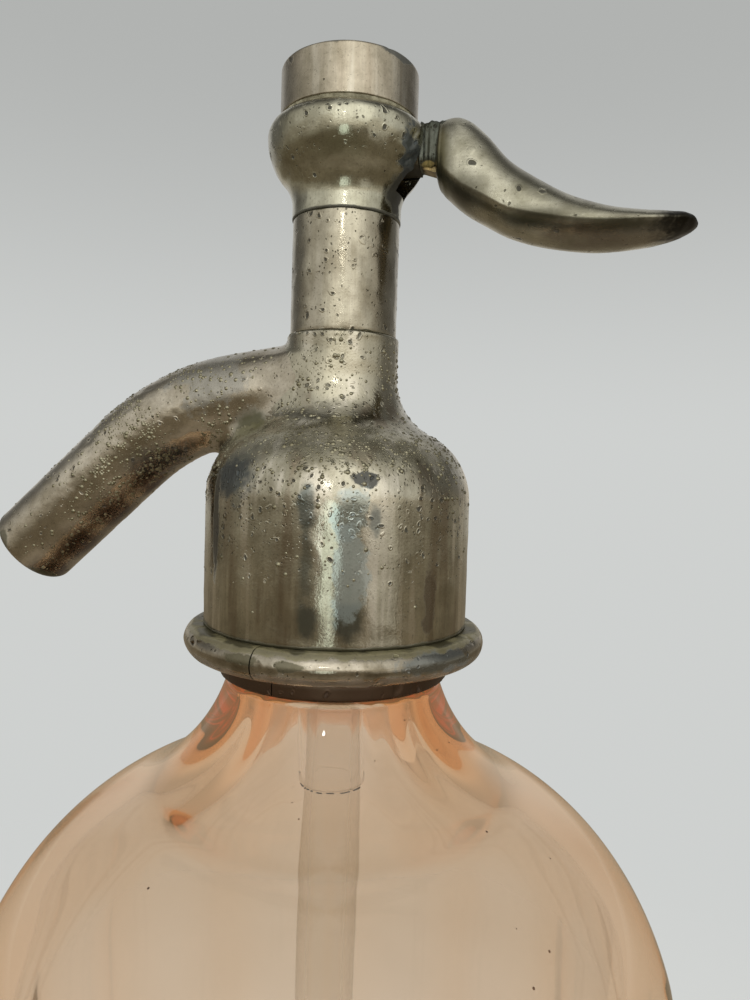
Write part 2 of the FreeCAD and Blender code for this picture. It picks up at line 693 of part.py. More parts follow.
def make_spout():
    """Bent tube soldered to the stub of the head."""
    body = new_body("spout", "0")
    path = new_sketch(body, "XZ_Plane", "spout_line")
    draw_path(path, [
        ("seam_x", "seam_z"),
        ("bend_end_x", "bend_end_z", "spout_bend", 1),
        ("tip_x", "tip_z"),
    ], closed=False)
    doc.recompute()
    section = tilted_circles(body, "spout_section", "seam_x", "seam_z", "seam_angle",
                             ["spout_radius", "spout_bore"])
    doc.recompute()
    sweep(body, "AdditivePipe", section, path, "spout_tube")
    return body


# ---------------------------------------------------------------------------
# Column, lever housing and cap
# ---------------------------------------------------------------------------

def make_column_sleeve():
    """Plain sleeve screwed on the lower neck; the spring stands inside."""
    section = [
        ("sleeve_bore", "0"),
        ("sleeve_radius - line_chamfer", "0"),
        ("sleeve_radius", "line_chamfer"),
        ("sleeve_radius", "sleeve_height - line_chamfer"),
        ("sleeve_radius - line_chamfer", "sleeve_height"),
        ("sleeve_bore", "sleeve_height"),
    ]
    return turned("column_sleeve", "column_line", section)


def make_lever_housing():
    """Bulb with the lever's slot, its pin hole and a spigot down into the sleeve."""
    body = new_body("lever_housing", "housing_seat - spigot_height")
    base = "spigot_height"
    section = [
        ("spring_room", "0"),
        ("spigot_radius", "0"),
        ("spigot_radius", base),
        ("housing_foot_radius - line_chamfer", base),
        ("housing_foot_radius", f"{base} + line_chamfer"),
        ("housing_foot_radius", f"{base} + bulb_height - foot_rise"),
        ("lower_centre + foot_reach * foot_share",
         f"{base} + bulb_height - foot_rise * foot_share", "bulb_foot_blend", -1),
        ("bulb_radius", f"{base} + bulb_height", "bulb_lower_arc", 1),
        ("cap_radius", f"{base} + bulb_height + mouth_rise", "bulb_upper_arc", 1),
        ("cap_radius", f"{base} + housing_height"),
        ("mouth_room", f"{base} + housing_height"),
        ("mouth_room", f"{base} + housing_height - mouth_depth"),
        ("lever_room", f"{base} + housing_height - mouth_depth"),
        ("lever_room", f"{base} + room_bottom"),
        ("rod_radius + 0.6", f"{base} + room_bottom"),
        ("rod_radius + 0.6", f"{base} + room_bottom - housing_floor"),
        ("spring_room", f"{base} + room_bottom - housing_floor"),
    ]
    revolve(body, section)
    doc.recompute()
    slot = new_sketch(body, "XZ_Plane", "slot_outline")
    draw_path(slot, box_corners("lever_room - 1.5", f"{base} + slot_bottom",
                                "bulb_radius + 2", f"{base} + slot_top"))
    cut_through(body, slot, "slot", "slot_width")
    hole = new_sketch(body, "XZ_Plane", "pin_hole_outline")
    draw_circle(hole, "pin_place", f"{base} + pin_height", "pin_radius + 0.02")
    cut_through(body, hole, "pin_hole")
    return body


def make_cap_washer():
    """Fibre washer in the joint under the cap."""
    return ring("cap_washer", "washer_seat", "mouth_room + seat_gap",
                "cap_radius - line_chamfer", "washer_height")


def make_top_cap():
    """Screw cap that closes the housing, with two holes for its key."""
    body = new_body("top_cap", "cap_seat - cap_spigot - washer_height")
    base = "(cap_spigot + washer_height)"
    section = [
        ("mouth_room - seat_gap - 1.6", "0"),
        ("mouth_room - seat_gap", "0"),
        ("mouth_room - seat_gap", base),
        ("cap_radius - line_chamfer", base),
        ("cap_radius", f"{base} + line_chamfer"),
        ("cap_radius", f"{base} + cap_height - cap_round"),
        ("cap_radius - cap_round", f"{base} + cap_height", "cap_round", 1),
        ("cap_recess_radius", f"{base} + cap_height"),
        ("cap_recess_radius - cap_recess", f"{base} + cap_height - cap_recess"),
        ("0", f"{base} + cap_height - cap_recess"),
        ("0", f"{base} + cap_height - cap_recess - cap_wall"),
        ("mouth_room - seat_gap - 1.6", f"{base} + cap_height - cap_recess - cap_wall"),
    ]
    revolve(body, section)
    doc.recompute()
    hole = new_sketch(body, "XY_Plane", "key_hole_outline")
    bind(hole, "AttachmentOffset.Base.z",
         f"{base} + cap_height - cap_recess - key_hole_depth")
    draw_circle(hole, "key_hole_place", "0", "key_hole")
    pocket = body.newObject("PartDesign::Pocket", "key_hole")
    pocket.Profile = hole
    pocket.Type = "ThroughAll"
    pocket.Reversed = True
    doc.recompute()
    holes = body.newObject("PartDesign::PolarPattern", "key_holes")
    holes.Originals = [pocket]
    holes.Axis = (origin_feature(body, "Z_Axis"), [""])
    holes.Angle = 360
    holes.Occurrences = 2
    body.Tip = holes
    doc.recompute()
    return body


# ---------------------------------------------------------------------------
# Water way: dip tube, bung and valve seat
# ---------------------------------------------------------------------------

def make_dip_tube():
    """Glass tube from the floor of the bottle to its flange on the bung."""
    body = new_body("dip_tube", "floor_height + floor_dome + tube_clear")
    foot = "(floor_height + floor_dome + tube_clear)"
    section = [
        ("tube_bore", "0"),
        ("tube_radius", "0"),
        ("tube_radius", f"ceiling - {foot}"),
        ("tube_flange_radius", f"ceiling - {foot}"),
        ("tube_flange_radius", f"ceiling + tube_flange_height - {foot}"),
        ("tube_bore", f"ceiling + tube_flange_height - {foot}"),
    ]
    revolve(body, section)
    doc.recompute()
    # the foot is ground off at a slant so that it can't seal on the floor
    slant = new_sketch(body, "XZ_Plane", "slant_outline")
    draw_path(slant, [
        ("-tube_radius - 1", "-1"),
        ("tube_radius + 1", "-1"),
        ("tube_radius + 1", "tube_radius"),
    ])
    cut_through(body, slant, "slant")
    return body


def make_tube_sheath():
    """Clear sheath that stiffens the tube below the bung."""
    section = [
        ("tube_radius + seat_gap", "0"),
        ("sheath_radius - 0.5", "0"),
        ("sheath_radius", "0.5", "0.5", 1),
        ("sheath_radius", "sheath_length"),
        ("tube_radius + seat_gap", "sheath_length"),
    ]
    return turned("tube_sheath", "ceiling - bung_height - sheath_length", section)


def make_mouth_bung():
    """Rubber bung that holds the tube in the mouth of the bottle."""
    section = [
        ("tube_radius + seat_gap", "0"),
        ("mouth_radius - seat_gap - bung_taper", "0"),
        ("mouth_radius - seat_gap", "bung_height - gasket_height"),
        ("mouth_radius - seat_gap", "bung_height"),
        ("tube_radius + seat_gap", "bung_height"),
    ]
    return turned("mouth_bung", "ceiling - bung_height", section)


def make_seat_washer():
    """Leather washer between the tube's flange and the valve seat."""
    return ring("seat_washer", "ceiling + tube_flange_height", "nozzle_bore",
                "tube_flange_radius", "seat_washer_height")


def make_valve_seat():
    """Brass nozzle screwed into the head; its rim is what the valve closes."""
    section = [
        ("nozzle_bore", "0"),
        ("nozzle_radius", "0"),
        ("nozzle_radius", "nozzle_height - nozzle_rim_height - 0.8"),
        ("nozzle_radius - 0.8", "nozzle_height - nozzle_rim_height"),
        ("nozzle_rim + 0.5", "nozzle_height - nozzle_rim_height"),
        ("nozzle_rim", "nozzle_height"),
        ("nozzle_bore", "nozzle_height"),
    ]
    return turned("valve_seat", "tube_seat_top", section)


# ---------------------------------------------------------------------------
# Valve: everything that rises with the rod
# ---------------------------------------------------------------------------

def make_valve_washer():
    """Rubber disc that closes the seat."""
    return turned("valve_washer", "washer_rest", box_corners(
        "0", "0", "valve_washer_radius", "valve_washer_height"))


def make_valve_cup():
    """Brass cup round the washer, screwed on the rod."""
    section = [
        ("valve_washer_radius + seat_gap", "0"),
        ("cup_radius", "0"),
        ("cup_radius", "cup_height - 1.4"),
        ("rod_radius + 0.8", "cup_height"),
        ("0", "cup_height"),
        ("0", "cup_lip"),
        ("valve_washer_radius + seat_gap", "cup_lip"),
    ]
    return turned("valve_cup", "cup_rest", section)


def make_valve_rod():
    """Rod from the cup to the lifting nut, slimmer where the fork straddles it."""
    foot = "rod_rest"
    section = [
        ("0", "0"),
        ("rod_radius", "0"),
        ("rod_radius", f"rod_shoulder - rod_chamfer - {foot}"),
        ("rod_radius - rod_chamfer", f"rod_shoulder - {foot}"),
        ("rod_neck", f"rod_shoulder - {foot}"),
        ("rod_neck", f"rod_top - 0.3 - {foot}"),
        ("rod_neck - 0.3", f"rod_top - {foot}"),
        ("0", f"rod_top - {foot}"),
    ]
    return turned("valve_rod", foot, section)


def make_spring_collar():
    """Collar on the rod under the spring."""
    section = [
        ("rod_radius + 0.02", "0"),
        ("spring_collar_radius - 0.3", "0"),
        ("spring_collar_radius", "0.3"),
        ("spring_collar_radius", "spring_collar_height"),
        ("rod_radius + 0.02", "spring_collar_height"),
    ]
    return turned("spring_collar", "collar_rest", section)


def make_lift_nut():
    """Hexagon nut on the rod's end; the fork lifts it."""
    body = new_body("lift_nut", "nut_rest")
    sketch = new_sketch(body, "XY_Plane", "nut_outline")
    corners = []
    for k in range(6):
        corners.append((f"nut_flats / sqrt(3) * cos({60 * k + 30} * 1 deg)",
                        f"nut_flats / sqrt(3) * sin({60 * k + 30} * 1 deg)"))
    draw_path(sketch, corners)
    draw_circle(sketch, "0", "0", "rod_neck + 0.03")
    pad = body.newObject("PartDesign::Pad", "nut_block")
    pad.Profile = sketch
    bind(pad, "Length", "nut_height")
    doc.recompute()
    return body


def make_spring():
    """Coil between the rod's collar and the housing's floor."""
    path = doc.addObject("Part::Helix", "spring_line")
    bind(path, "Pitch", "(spring_length - spring_wire) / spring_turns")
    bind(path, "Height", "spring_length - spring_wire")
    bind(path, "Radius", "spring_radius")
    wire = doc.addObject("Part::Circle", "spring_wire_section")
    bind(wire, "Radius", "spring_wire / 2")
    bind(wire, "Placement.Base.x", "spring_radius")
    wire.Placement = FreeCAD.Placement(wire.Placement.Base,
                                       FreeCAD.Rotation(vector(1, 0, 0), 90))
    doc.recompute()
    coil = doc.addObject("Part::Sweep", "spring")
    coil.Label = "spring"
    coil.Sections = [wire]
    coil.Spine = (path, ["Edge1"])
    coil.Solid = True
    coil.Frenet = True
    bind(coil, "Placement.Base.z", "spring_rest + seat_gap + spring_wire / 2")
    doc.recompute()
    return coil


def make_gland_packing():
    """Leather rings that seal the rod."""
    return ring("gland_packing", "packing_bottom", "rod_radius + rod_running_gap",
                "packing_radius - seat_gap", "packing_height")


def make_gland_nut():
    """Slotted brass nut that presses the packing down."""
    body = new_body("gland_nut", "gland_seat")
    section = [
        ("rod_radius + rod_running_gap", "0"),
        ("packing_radius - seat_gap", "0"),
        ("packing_radius - seat_gap", "gland_height"),
        ("gland_flange", "gland_height"),
        ("gland_flange", "gland_height + gland_flange_height"),
        ("rod_radius + rod_running_gap", "gland_height + gland_flange_height"),
    ]
    revolve(body, section)
    doc.recompute()
    slot = new_sketch(body, "XZ_Plane", "driver_slot_outline")
    draw_path(slot, box_corners("-0.6", "gland_height + gland_flange_height - 0.9",
                                "0.6", "gland_height + gland_flange_height + 1"))
    cut_through(body, slot, "driver_slot")
    return body


# ---------------------------------------------------------------------------
# Lever
# ---------------------------------------------------------------------------

def make_lever_pin():
    """Pin through both cheeks of the housing."""
    pin = doc.addObject("Part::Cylinder", "lever_pin")
    pin.Label = "lever_pin"
    bind(pin, "Radius", "pin_radius")
    bind(pin, "Height", "pin_length")
    bind(pin, "Placement.Base.x", "pin_place")
    bind(pin, "Placement.Base.y", "pin_length / 2")
    bind(pin, "Placement.Base.z", "pin_level")
    pin.Placement = FreeCAD.Placement(pin.Placement.Base,
                                      FreeCAD.Rotation(vector(1, 0, 0), 90))
    doc.recompute()
    return pin


def tang_corners(gap):
    """Outline of the tang from the root of the handle to its end."""
    return [
        (f"lever_root - 2 - {gap}", f"-tang_height / 2 - 0.2 - {gap}"),
        (f"tang_length + {gap}", f"-tang_fall - tang_height - {gap}"),
        (f"tang_length + {gap}", f"-tang_fall + {gap}"),
        (f"lever_root - 2 - {gap}", f"tang_height / 2 - 0.2 + {gap}"),
    ]


def make_lever_tongue():
    """Brass tongue: fork under the lifting nut, eye on the pin, tang in the handle."""
    body = new_body("lever_tongue", "pin_level")
    sketch = new_sketch(body, "XZ_Plane", "tongue_outline")
    draw_path(sketch, [
        ("pin_place - 2", "-eye_radius"),
        ("lever_root - 0.1", "-eye_radius"),
        ("lever_root - 0.1", "eye_radius - 0.6"),
        ("pin_place - 2", "eye_radius - 0.6"),
        ("0", "fork_tip"),
        ("-fork_tip", "0", "fork_tip", 1),
        ("0", "-fork_tip", "fork_tip", 1),
    ])
    pad = body.newObject("PartDesign::Pad", "tongue_plate")
    pad.Profile = sketch
    pad.SideType = "Symmetric"
    bind(pad, "Length", "tongue_width")
    doc.recompute()
    fork = new_sketch(body, "XY_Plane", "fork_outline")
    half = "(rod_neck + fork_gap)"
    draw_path(fork, [
        ("-fork_tip - 1", f"-{half}"),
        (f"fork_depth - {half}", f"-{half}"),
        (f"fork_depth", "0", half, 1),
        (f"fork_depth - {half}", half, half, 1),
        ("-fork_tip - 1", half),
    ])
    cut_through(body, fork, "fork")
    tang = new_sketch(body, "XZ_Plane", "tang_outline")
    draw_path(tang, tang_corners("0"))
    stem = body.newObject("PartDesign::Pad", "tang")
    stem.Profile = tang
    stem.SideType = "Symmetric"
    bind(stem, "Length", "tang_width")
    doc.recompute()
    eye = new_sketch(body, "XZ_Plane", "eye_outline")
    draw_circle(eye, "pin_place", "0", "pin_radius + pin_running_gap")
    cut_through(body, eye, "eye")
    return body


def make_lever_handle():
    """Cast handle lofted through ovals, with a root block that takes the tang."""
    body = new_body("lever_handle", "pin_level")
    sections = []
    for letter, *_ in HANDLE:
        sketch = new_sketch(body, "YZ_Plane", "oval_" + letter)
        bind(sketch, "AttachmentOffset.Base.z", "place_" + letter)
        low = f"middle_{letter} - up_{letter}"
        high = f"middle_{letter} + up_{letter}"
        across, side, back = f"across_{letter}", f"side_{letter}", f"back_{letter}"
        draw_path(sketch, [
            (across, low, back, 1),
            (across, high, side, 1),
            ("-" + across, high, back, 1),
            ("-" + across, low, side, 1),
        ])
        sections.append(sketch)
    doc.recompute()
    loft = body.newObject("PartDesign::AdditiveLoft", "handle_loft")
    loft.Profile = sections[0]
    loft.Sections = sections[1:]
    loft.Ruled = False
    doc.recompute()
    root = new_sketch(body, "XZ_Plane", "root_outline")
    draw_path(root, box_corners("lever_root", "root_bottom - pin_height",
                                "root_reach", "root_top - pin_height"))
    block = body.newObject("PartDesign::Pad", "root_block")
    block.Profile = root
    block.SideType = "Symmetric"
    bind(block, "Length", "root_width")
    doc.recompute()
    tang = new_sketch(body, "XZ_Plane", "tang_pocket_outline")
    draw_path(tang, tang_corners("seat_gap"))
    cut_through(body, tang, "tang_pocket", "tang_width + 2 * seat_gap")
    return body


def finish(parts):
    """Recompute, test every object and write the sub-parts."""
    doc.recompute()
    for item in doc.Objects:
        if "Invalid" in item.State or "Error" in item.State:
            raise RuntimeError(f"{item.Name} is {item.State}")
    os.makedirs("parts", exist_ok=True)
    for part in parts:
        shape = part.Shape
        if shape.isNull() or not shape.isValid():
            raise RuntimeError(part.Label + " has no valid shape")
        solids = len(shape.Solids)
        print(f"{part.Label}: {solids} solid(s), {shape.Volume:.1f} mm3")
        shape.exportStep(f"parts/{part.Label}.step")


PARTS = [
    make_bottle(),
    make_collar_liner(),
    make_collar_half("collar_half_right", "split_turn + collar_split / 2"),
    make_collar_half("collar_half_left", "split_turn + 180 + collar_split / 2"),
    make_neck_gasket(),
    make_mouth_bung(),
    make_dip_tube(),
    make_tube_sheath(),
    make_seat_washer(),
    make_valve_seat(),
    make_head_body(),
    make_spout(),
    make_column_sleeve(),
    make_lever_housing(),
    make_cap_washer(),
    make_top_cap(),
    make_valve_washer(),
    make_valve_cup(),
    make_valve_rod(),
    make_spring_collar(),
    make_lift_nut(),
    make_spring(),
    make_gland_packing(),
    make_gland_nut(),
    make_lever_pin(),
    make_lever_tongue(),
    make_lever_handle(),
]
finish(PARTS)
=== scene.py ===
"""The looks of a soda siphon: tinted glass, tarnished tin alloy, brass and rubber.

Sizes inside the classes are millimetres in the part's own frame: +Z up, origin at the
middle of the bottle's foot, lever towards +X. Meshes are put down in metres, and the
studio's floor and lights have their sizes and places in metres.
"""
import logging
import math
from dataclasses import dataclass, field
from enum import Enum
from typing import Any, Callable, Sequence

import bmesh
import bpy
import numpy as np
from mathutils import Matrix, Vector


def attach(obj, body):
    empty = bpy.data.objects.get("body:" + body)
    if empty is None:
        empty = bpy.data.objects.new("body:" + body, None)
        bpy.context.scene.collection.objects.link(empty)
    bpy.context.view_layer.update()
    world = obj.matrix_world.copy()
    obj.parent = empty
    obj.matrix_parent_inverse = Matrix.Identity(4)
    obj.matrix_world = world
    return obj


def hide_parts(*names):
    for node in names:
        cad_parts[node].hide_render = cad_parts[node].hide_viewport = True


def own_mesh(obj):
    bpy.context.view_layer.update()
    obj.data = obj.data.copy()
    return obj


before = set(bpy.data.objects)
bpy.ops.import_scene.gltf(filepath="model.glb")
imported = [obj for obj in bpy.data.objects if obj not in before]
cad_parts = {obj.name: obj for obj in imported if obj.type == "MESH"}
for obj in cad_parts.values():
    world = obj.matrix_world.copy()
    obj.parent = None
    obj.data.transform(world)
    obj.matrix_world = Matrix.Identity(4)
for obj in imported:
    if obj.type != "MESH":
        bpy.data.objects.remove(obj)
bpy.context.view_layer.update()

logging.basicConfig(level=logging.INFO, format="%(message)s")
LOG = logging.getLogger("siphon")

MM = 0.001
MERGE = 1e-4  # points of a piece nearer than this, in millimetres, become one
Array = np.ndarray
Colour = tuple[float, float, float]
Point = tuple[float, float, float]
Looks = dict[str, bpy.types.Material]
Socket = bpy.types.NodeSocket


# ---- Shader maths ----

class Value:
    """A number in a shader, either a socket or a plain float, with Python's operators."""

    def __init__(self, paint: "Paint", source: Any) -> None:
        """Keep the tree and the socket or number."""
        self.paint = paint
        self.source = source

    def maths(self, operation: str, *others: Any) -> "Value":
        """Add a Math node on this value and the others.

        Args:
            operation: the node's operation.
            others: sockets or numbers that follow this value.

        Returns:
            The node's result.
        """
        inputs = {0: self} | {i: other for i, other in enumerate(others, start=1)}
        node = self.paint.node("ShaderNodeMath", {"operation": operation}, inputs)
        return Value(self.paint, node.outputs[0])

    def __add__(self, other: Any) -> "Value":
        """This value plus the other."""
        return self.maths("ADD", other)

    __radd__ = __add__

    def __sub__(self, other: Any) -> "Value":
        """This value less the other."""
        return self.maths("SUBTRACT", other)

    def __rsub__(self, other: Any) -> "Value":
        """The other less this value."""
        return Value(self.paint, other).maths("SUBTRACT", self)

    def __mul__(self, other: Any) -> "Value":
        """This value times the other."""
        return self.maths("MULTIPLY", other)

    __rmul__ = __mul__

    def size(self) -> "Value":
        """The value without its sign."""
        return self.maths("ABSOLUTE")

    def least(self, other: Any) -> "Value":
        """The smaller of the two."""
        return self.maths("MINIMUM", other)

    def most(self, other: Any) -> "Value":
        """The larger of the two."""
        return self.maths("MAXIMUM", other)

    def step(self, low: float, high: float) -> "Value":
        """Zero at low, one at high, with a soft start and end between them.

        Args:
            low: where the result is 0; it may be above high.
            high: where the result is 1.

        Returns:
            The smooth step.
        """
        turned = low > high
        start, end = (high, low) if turned else (low, high)
        node = self.paint.node(
            "ShaderNodeMapRange", {"interpolation_type": "SMOOTHSTEP"},
            {"Value": self, "From Min": start, "From Max": end,
             "To Min": 1.0 if turned else 0.0, "To Max": 0.0 if turned else 1.0})
        return Value(self.paint, node.outputs["Result"])


class Paint:
    """One node tree of a material or the world."""

    def __init__(self, tree: bpy.types.NodeTree,
                 owner: bpy.types.Material | None = None) -> None:
        """Empty the tree and keep the material that owns it, if one does."""
        self.tree = tree
        self.owner = owner
        tree.nodes.clear()

    @classmethod
    def material(cls, name: str) -> "Paint":
        """Start a material.

        Args:
            name: the material's name.

        Returns:
            Its empty tree.
        """
        material = bpy.data.materials.new(name)
        material.use_nodes = True
        return cls(material.node_tree, material)

    def node(self, kind: str, settings: dict[str, Any] | None = None,
             inputs: dict[Any, Any] | None = None) -> bpy.types.Node:
        """Add a node.

        Args:
            kind: the node's type.
            settings: its own settings, such as an operation.
            inputs: values or links of its sockets, by name or number.

        Returns:
            The node.
        """
        node = self.tree.nodes.new(kind)
        for key, value in (settings or {}).items():
            setattr(node, key, value)
        for key, value in (inputs or {}).items():
            socket = node.inputs[key]
            if isinstance(value, Value):
                value = value.source
            if isinstance(value, Socket):
                self.tree.links.new(value, socket)
            elif isinstance(value, tuple) and socket.type == "RGBA":
                socket.default_value = (*value, 1.0)[:4]
            else:
                socket.default_value = value
        return node

    def place(self) -> Socket:
        """The point on the piece, in the part's own frame."""
        return self.node("ShaderNodeTexCoord").outputs["Object"]

    def parts(self, vector: Socket) -> tuple[Value, Value, Value]:
        """The three numbers of a vector."""
        node = self.node("ShaderNodeSeparateXYZ", inputs={0: vector})
        return tuple(Value(self, output) for output in node.outputs)

    def vectors(self, operation: str, *inputs: Any) -> bpy.types.Node:
        """Add a Vector Math node with that operation on the inputs."""
        return self.node("ShaderNodeVectorMath", {"operation": operation},
                         dict(enumerate(inputs)))

    def stretch(self, vector: Socket, factors: Point) -> Socket:
        """The vector with each axis multiplied by its own factor."""
        return self.vectors("MULTIPLY", vector, factors).outputs[0]

    def length(self, vector: Socket) -> Value:
        """The length of a vector."""
        return Value(self, self.vectors("LENGTH", vector).outputs["Value"])

    def noise(self, vector: Socket, size: float, detail: float = 3.0,
              rough: float = 0.5, warp: float = 0.0) -> Value:
        """Soft noise between 0 and 1.

        Args:
            vector: the point at which it is read.
            size: rough width of a blotch in millimetres.
            detail: how many finer layers it has.
            rough: how strong the finer layers are.
            warp: how far its blotches are pulled about.

        Returns:
            The noise.
        """
        node = self.node("ShaderNodeTexNoise", inputs={
            "Vector": vector, "Scale": 1.0 / (size * MM), "Detail": detail,
            "Roughness": rough, "Distortion": warp})
        return Value(self, node.outputs["Factor" if "Factor" in node.outputs else "Fac"])

    def cells(self, vector: Socket, size: float) -> tuple[Value, Value]:
        """Scattered points, one in each cell.

        Args:
            vector: the point at which they are read.
            size: width of a cell in millimetres.

        Returns:
            Distance to the nearest point in cell widths, and that point's random number.
        """
        node = self.node("ShaderNodeTexVoronoi", {"feature": "F1"}, {
            "Vector": vector, "Scale": 1.0 / (size * MM), "Randomness": 1.0})
        random = self.node("ShaderNodeSeparateColor", inputs={0: node.outputs["Color"]})
        return Value(self, node.outputs["Distance"]), Value(self, random.outputs[0])

    def mix(self, factor: Any, first: Any, second: Any) -> Socket:
        """A colour between first and second."""
        node = self.node("ShaderNodeMix", {"data_type": "RGBA"}, {0: factor, 6: first, 7: second})
        return node.outputs[2]

    def bump(self, height: Value) -> Socket:
        """The normal of a surface raised by height, in millimetres."""
        inputs = {"Height": height, "Distance": MM, "Strength": 1.0}
        return self.node("ShaderNodeBump", inputs=inputs).outputs[0]

    def finish(self, shader: Socket, volume: Socket | None = None) -> bpy.types.Material:
        """Link the shaders to the output.

        Args:
            shader: the surface.
            volume: the inside, where the piece has one.

        Returns:
            The material.
        """
        output = self.node("ShaderNodeOutputMaterial", inputs={"Surface": shader})
        if volume is not None:
            self.tree.links.new(volume, output.inputs["Volume"])
        return self.owner


# ---- Finishes ----

GRIME = (0.12, 0.105, 0.08)
RUN_DARK = (0.20, 0.16, 0.11)
RUN_PALE = (0.52, 0.485, 0.40)
PIT_FLOOR = (0.035, 0.032, 0.022)
SMALL_PIT = (0.05, 0.046, 0.032)
GRIT = (0.05, 0.045, 0.03)


@dataclass(frozen=True)
class Line:
    """A line round the piece at one height, used for dirt and wear and for painted shade."""

    height: float
    width: float
    colour: Colour
    strength: float = 1.0
    wobble: float = 0.5
    hides: float = 0.6

    def mask(self, height: Value, cloud: Value) -> Value:
        """How strongly a point is marked: fully at the wobbling height, fading at the width."""
        edge = height - self.height + (cloud - 0.5) * (2.0 * self.wobble)
        return edge.size().step(self.width, self.width * 0.35) * self.strength


@dataclass(frozen=True)
class Patch:
    """An ellipsoid with a ragged edge, used for stains and for painted shade and reflections."""

    centre: Point
    radii: Point
    colour: Colour
    strength: float
    roughness: float
    ragged: float = 0.6
    hides: float = 0.45
    soft: float = 0.3

    def mask(self, paint: Paint, place: Socket, cloud: Value, speck: Value) -> Value:
        """How strongly a point is marked.

        The distance from the centre, counted in radii and made ragged by the noises,
        gives full strength up to 1.05 less soft and none past 1.05.

        Args:
            paint: the metal's tree.
            place: the point.
            cloud: the metal's soft noise.
            speck: its fine noise.

        Returns:
            The strength, 0 to 1.
        """
        edge = 1.05
        shifted = paint.vectors("SUBTRACT", place, tuple(c * MM for c in self.centre)).outputs[0]
        scaled = paint.stretch(shifted, tuple(1.0 / (r * MM) for r in self.radii))
        ragged = (paint.length(scaled) + (cloud - 0.5) * (2.0 * self.ragged)
                  + (speck - 0.5) * 0.3)
        return ragged.step(edge, edge - self.soft) * self.strength


class Grain(Enum):
    """Which way the fine brushing of a metal runs, as stretch factors of its pattern."""

    UPRIGHT = (1.0, 1.0, 0.06)
    ROUND = (0.06, 0.06, 1.0)
    LENGTHWISE = (0.07, 1.0, 1.0)
    CAST = (1.0, 1.0, 1.0)


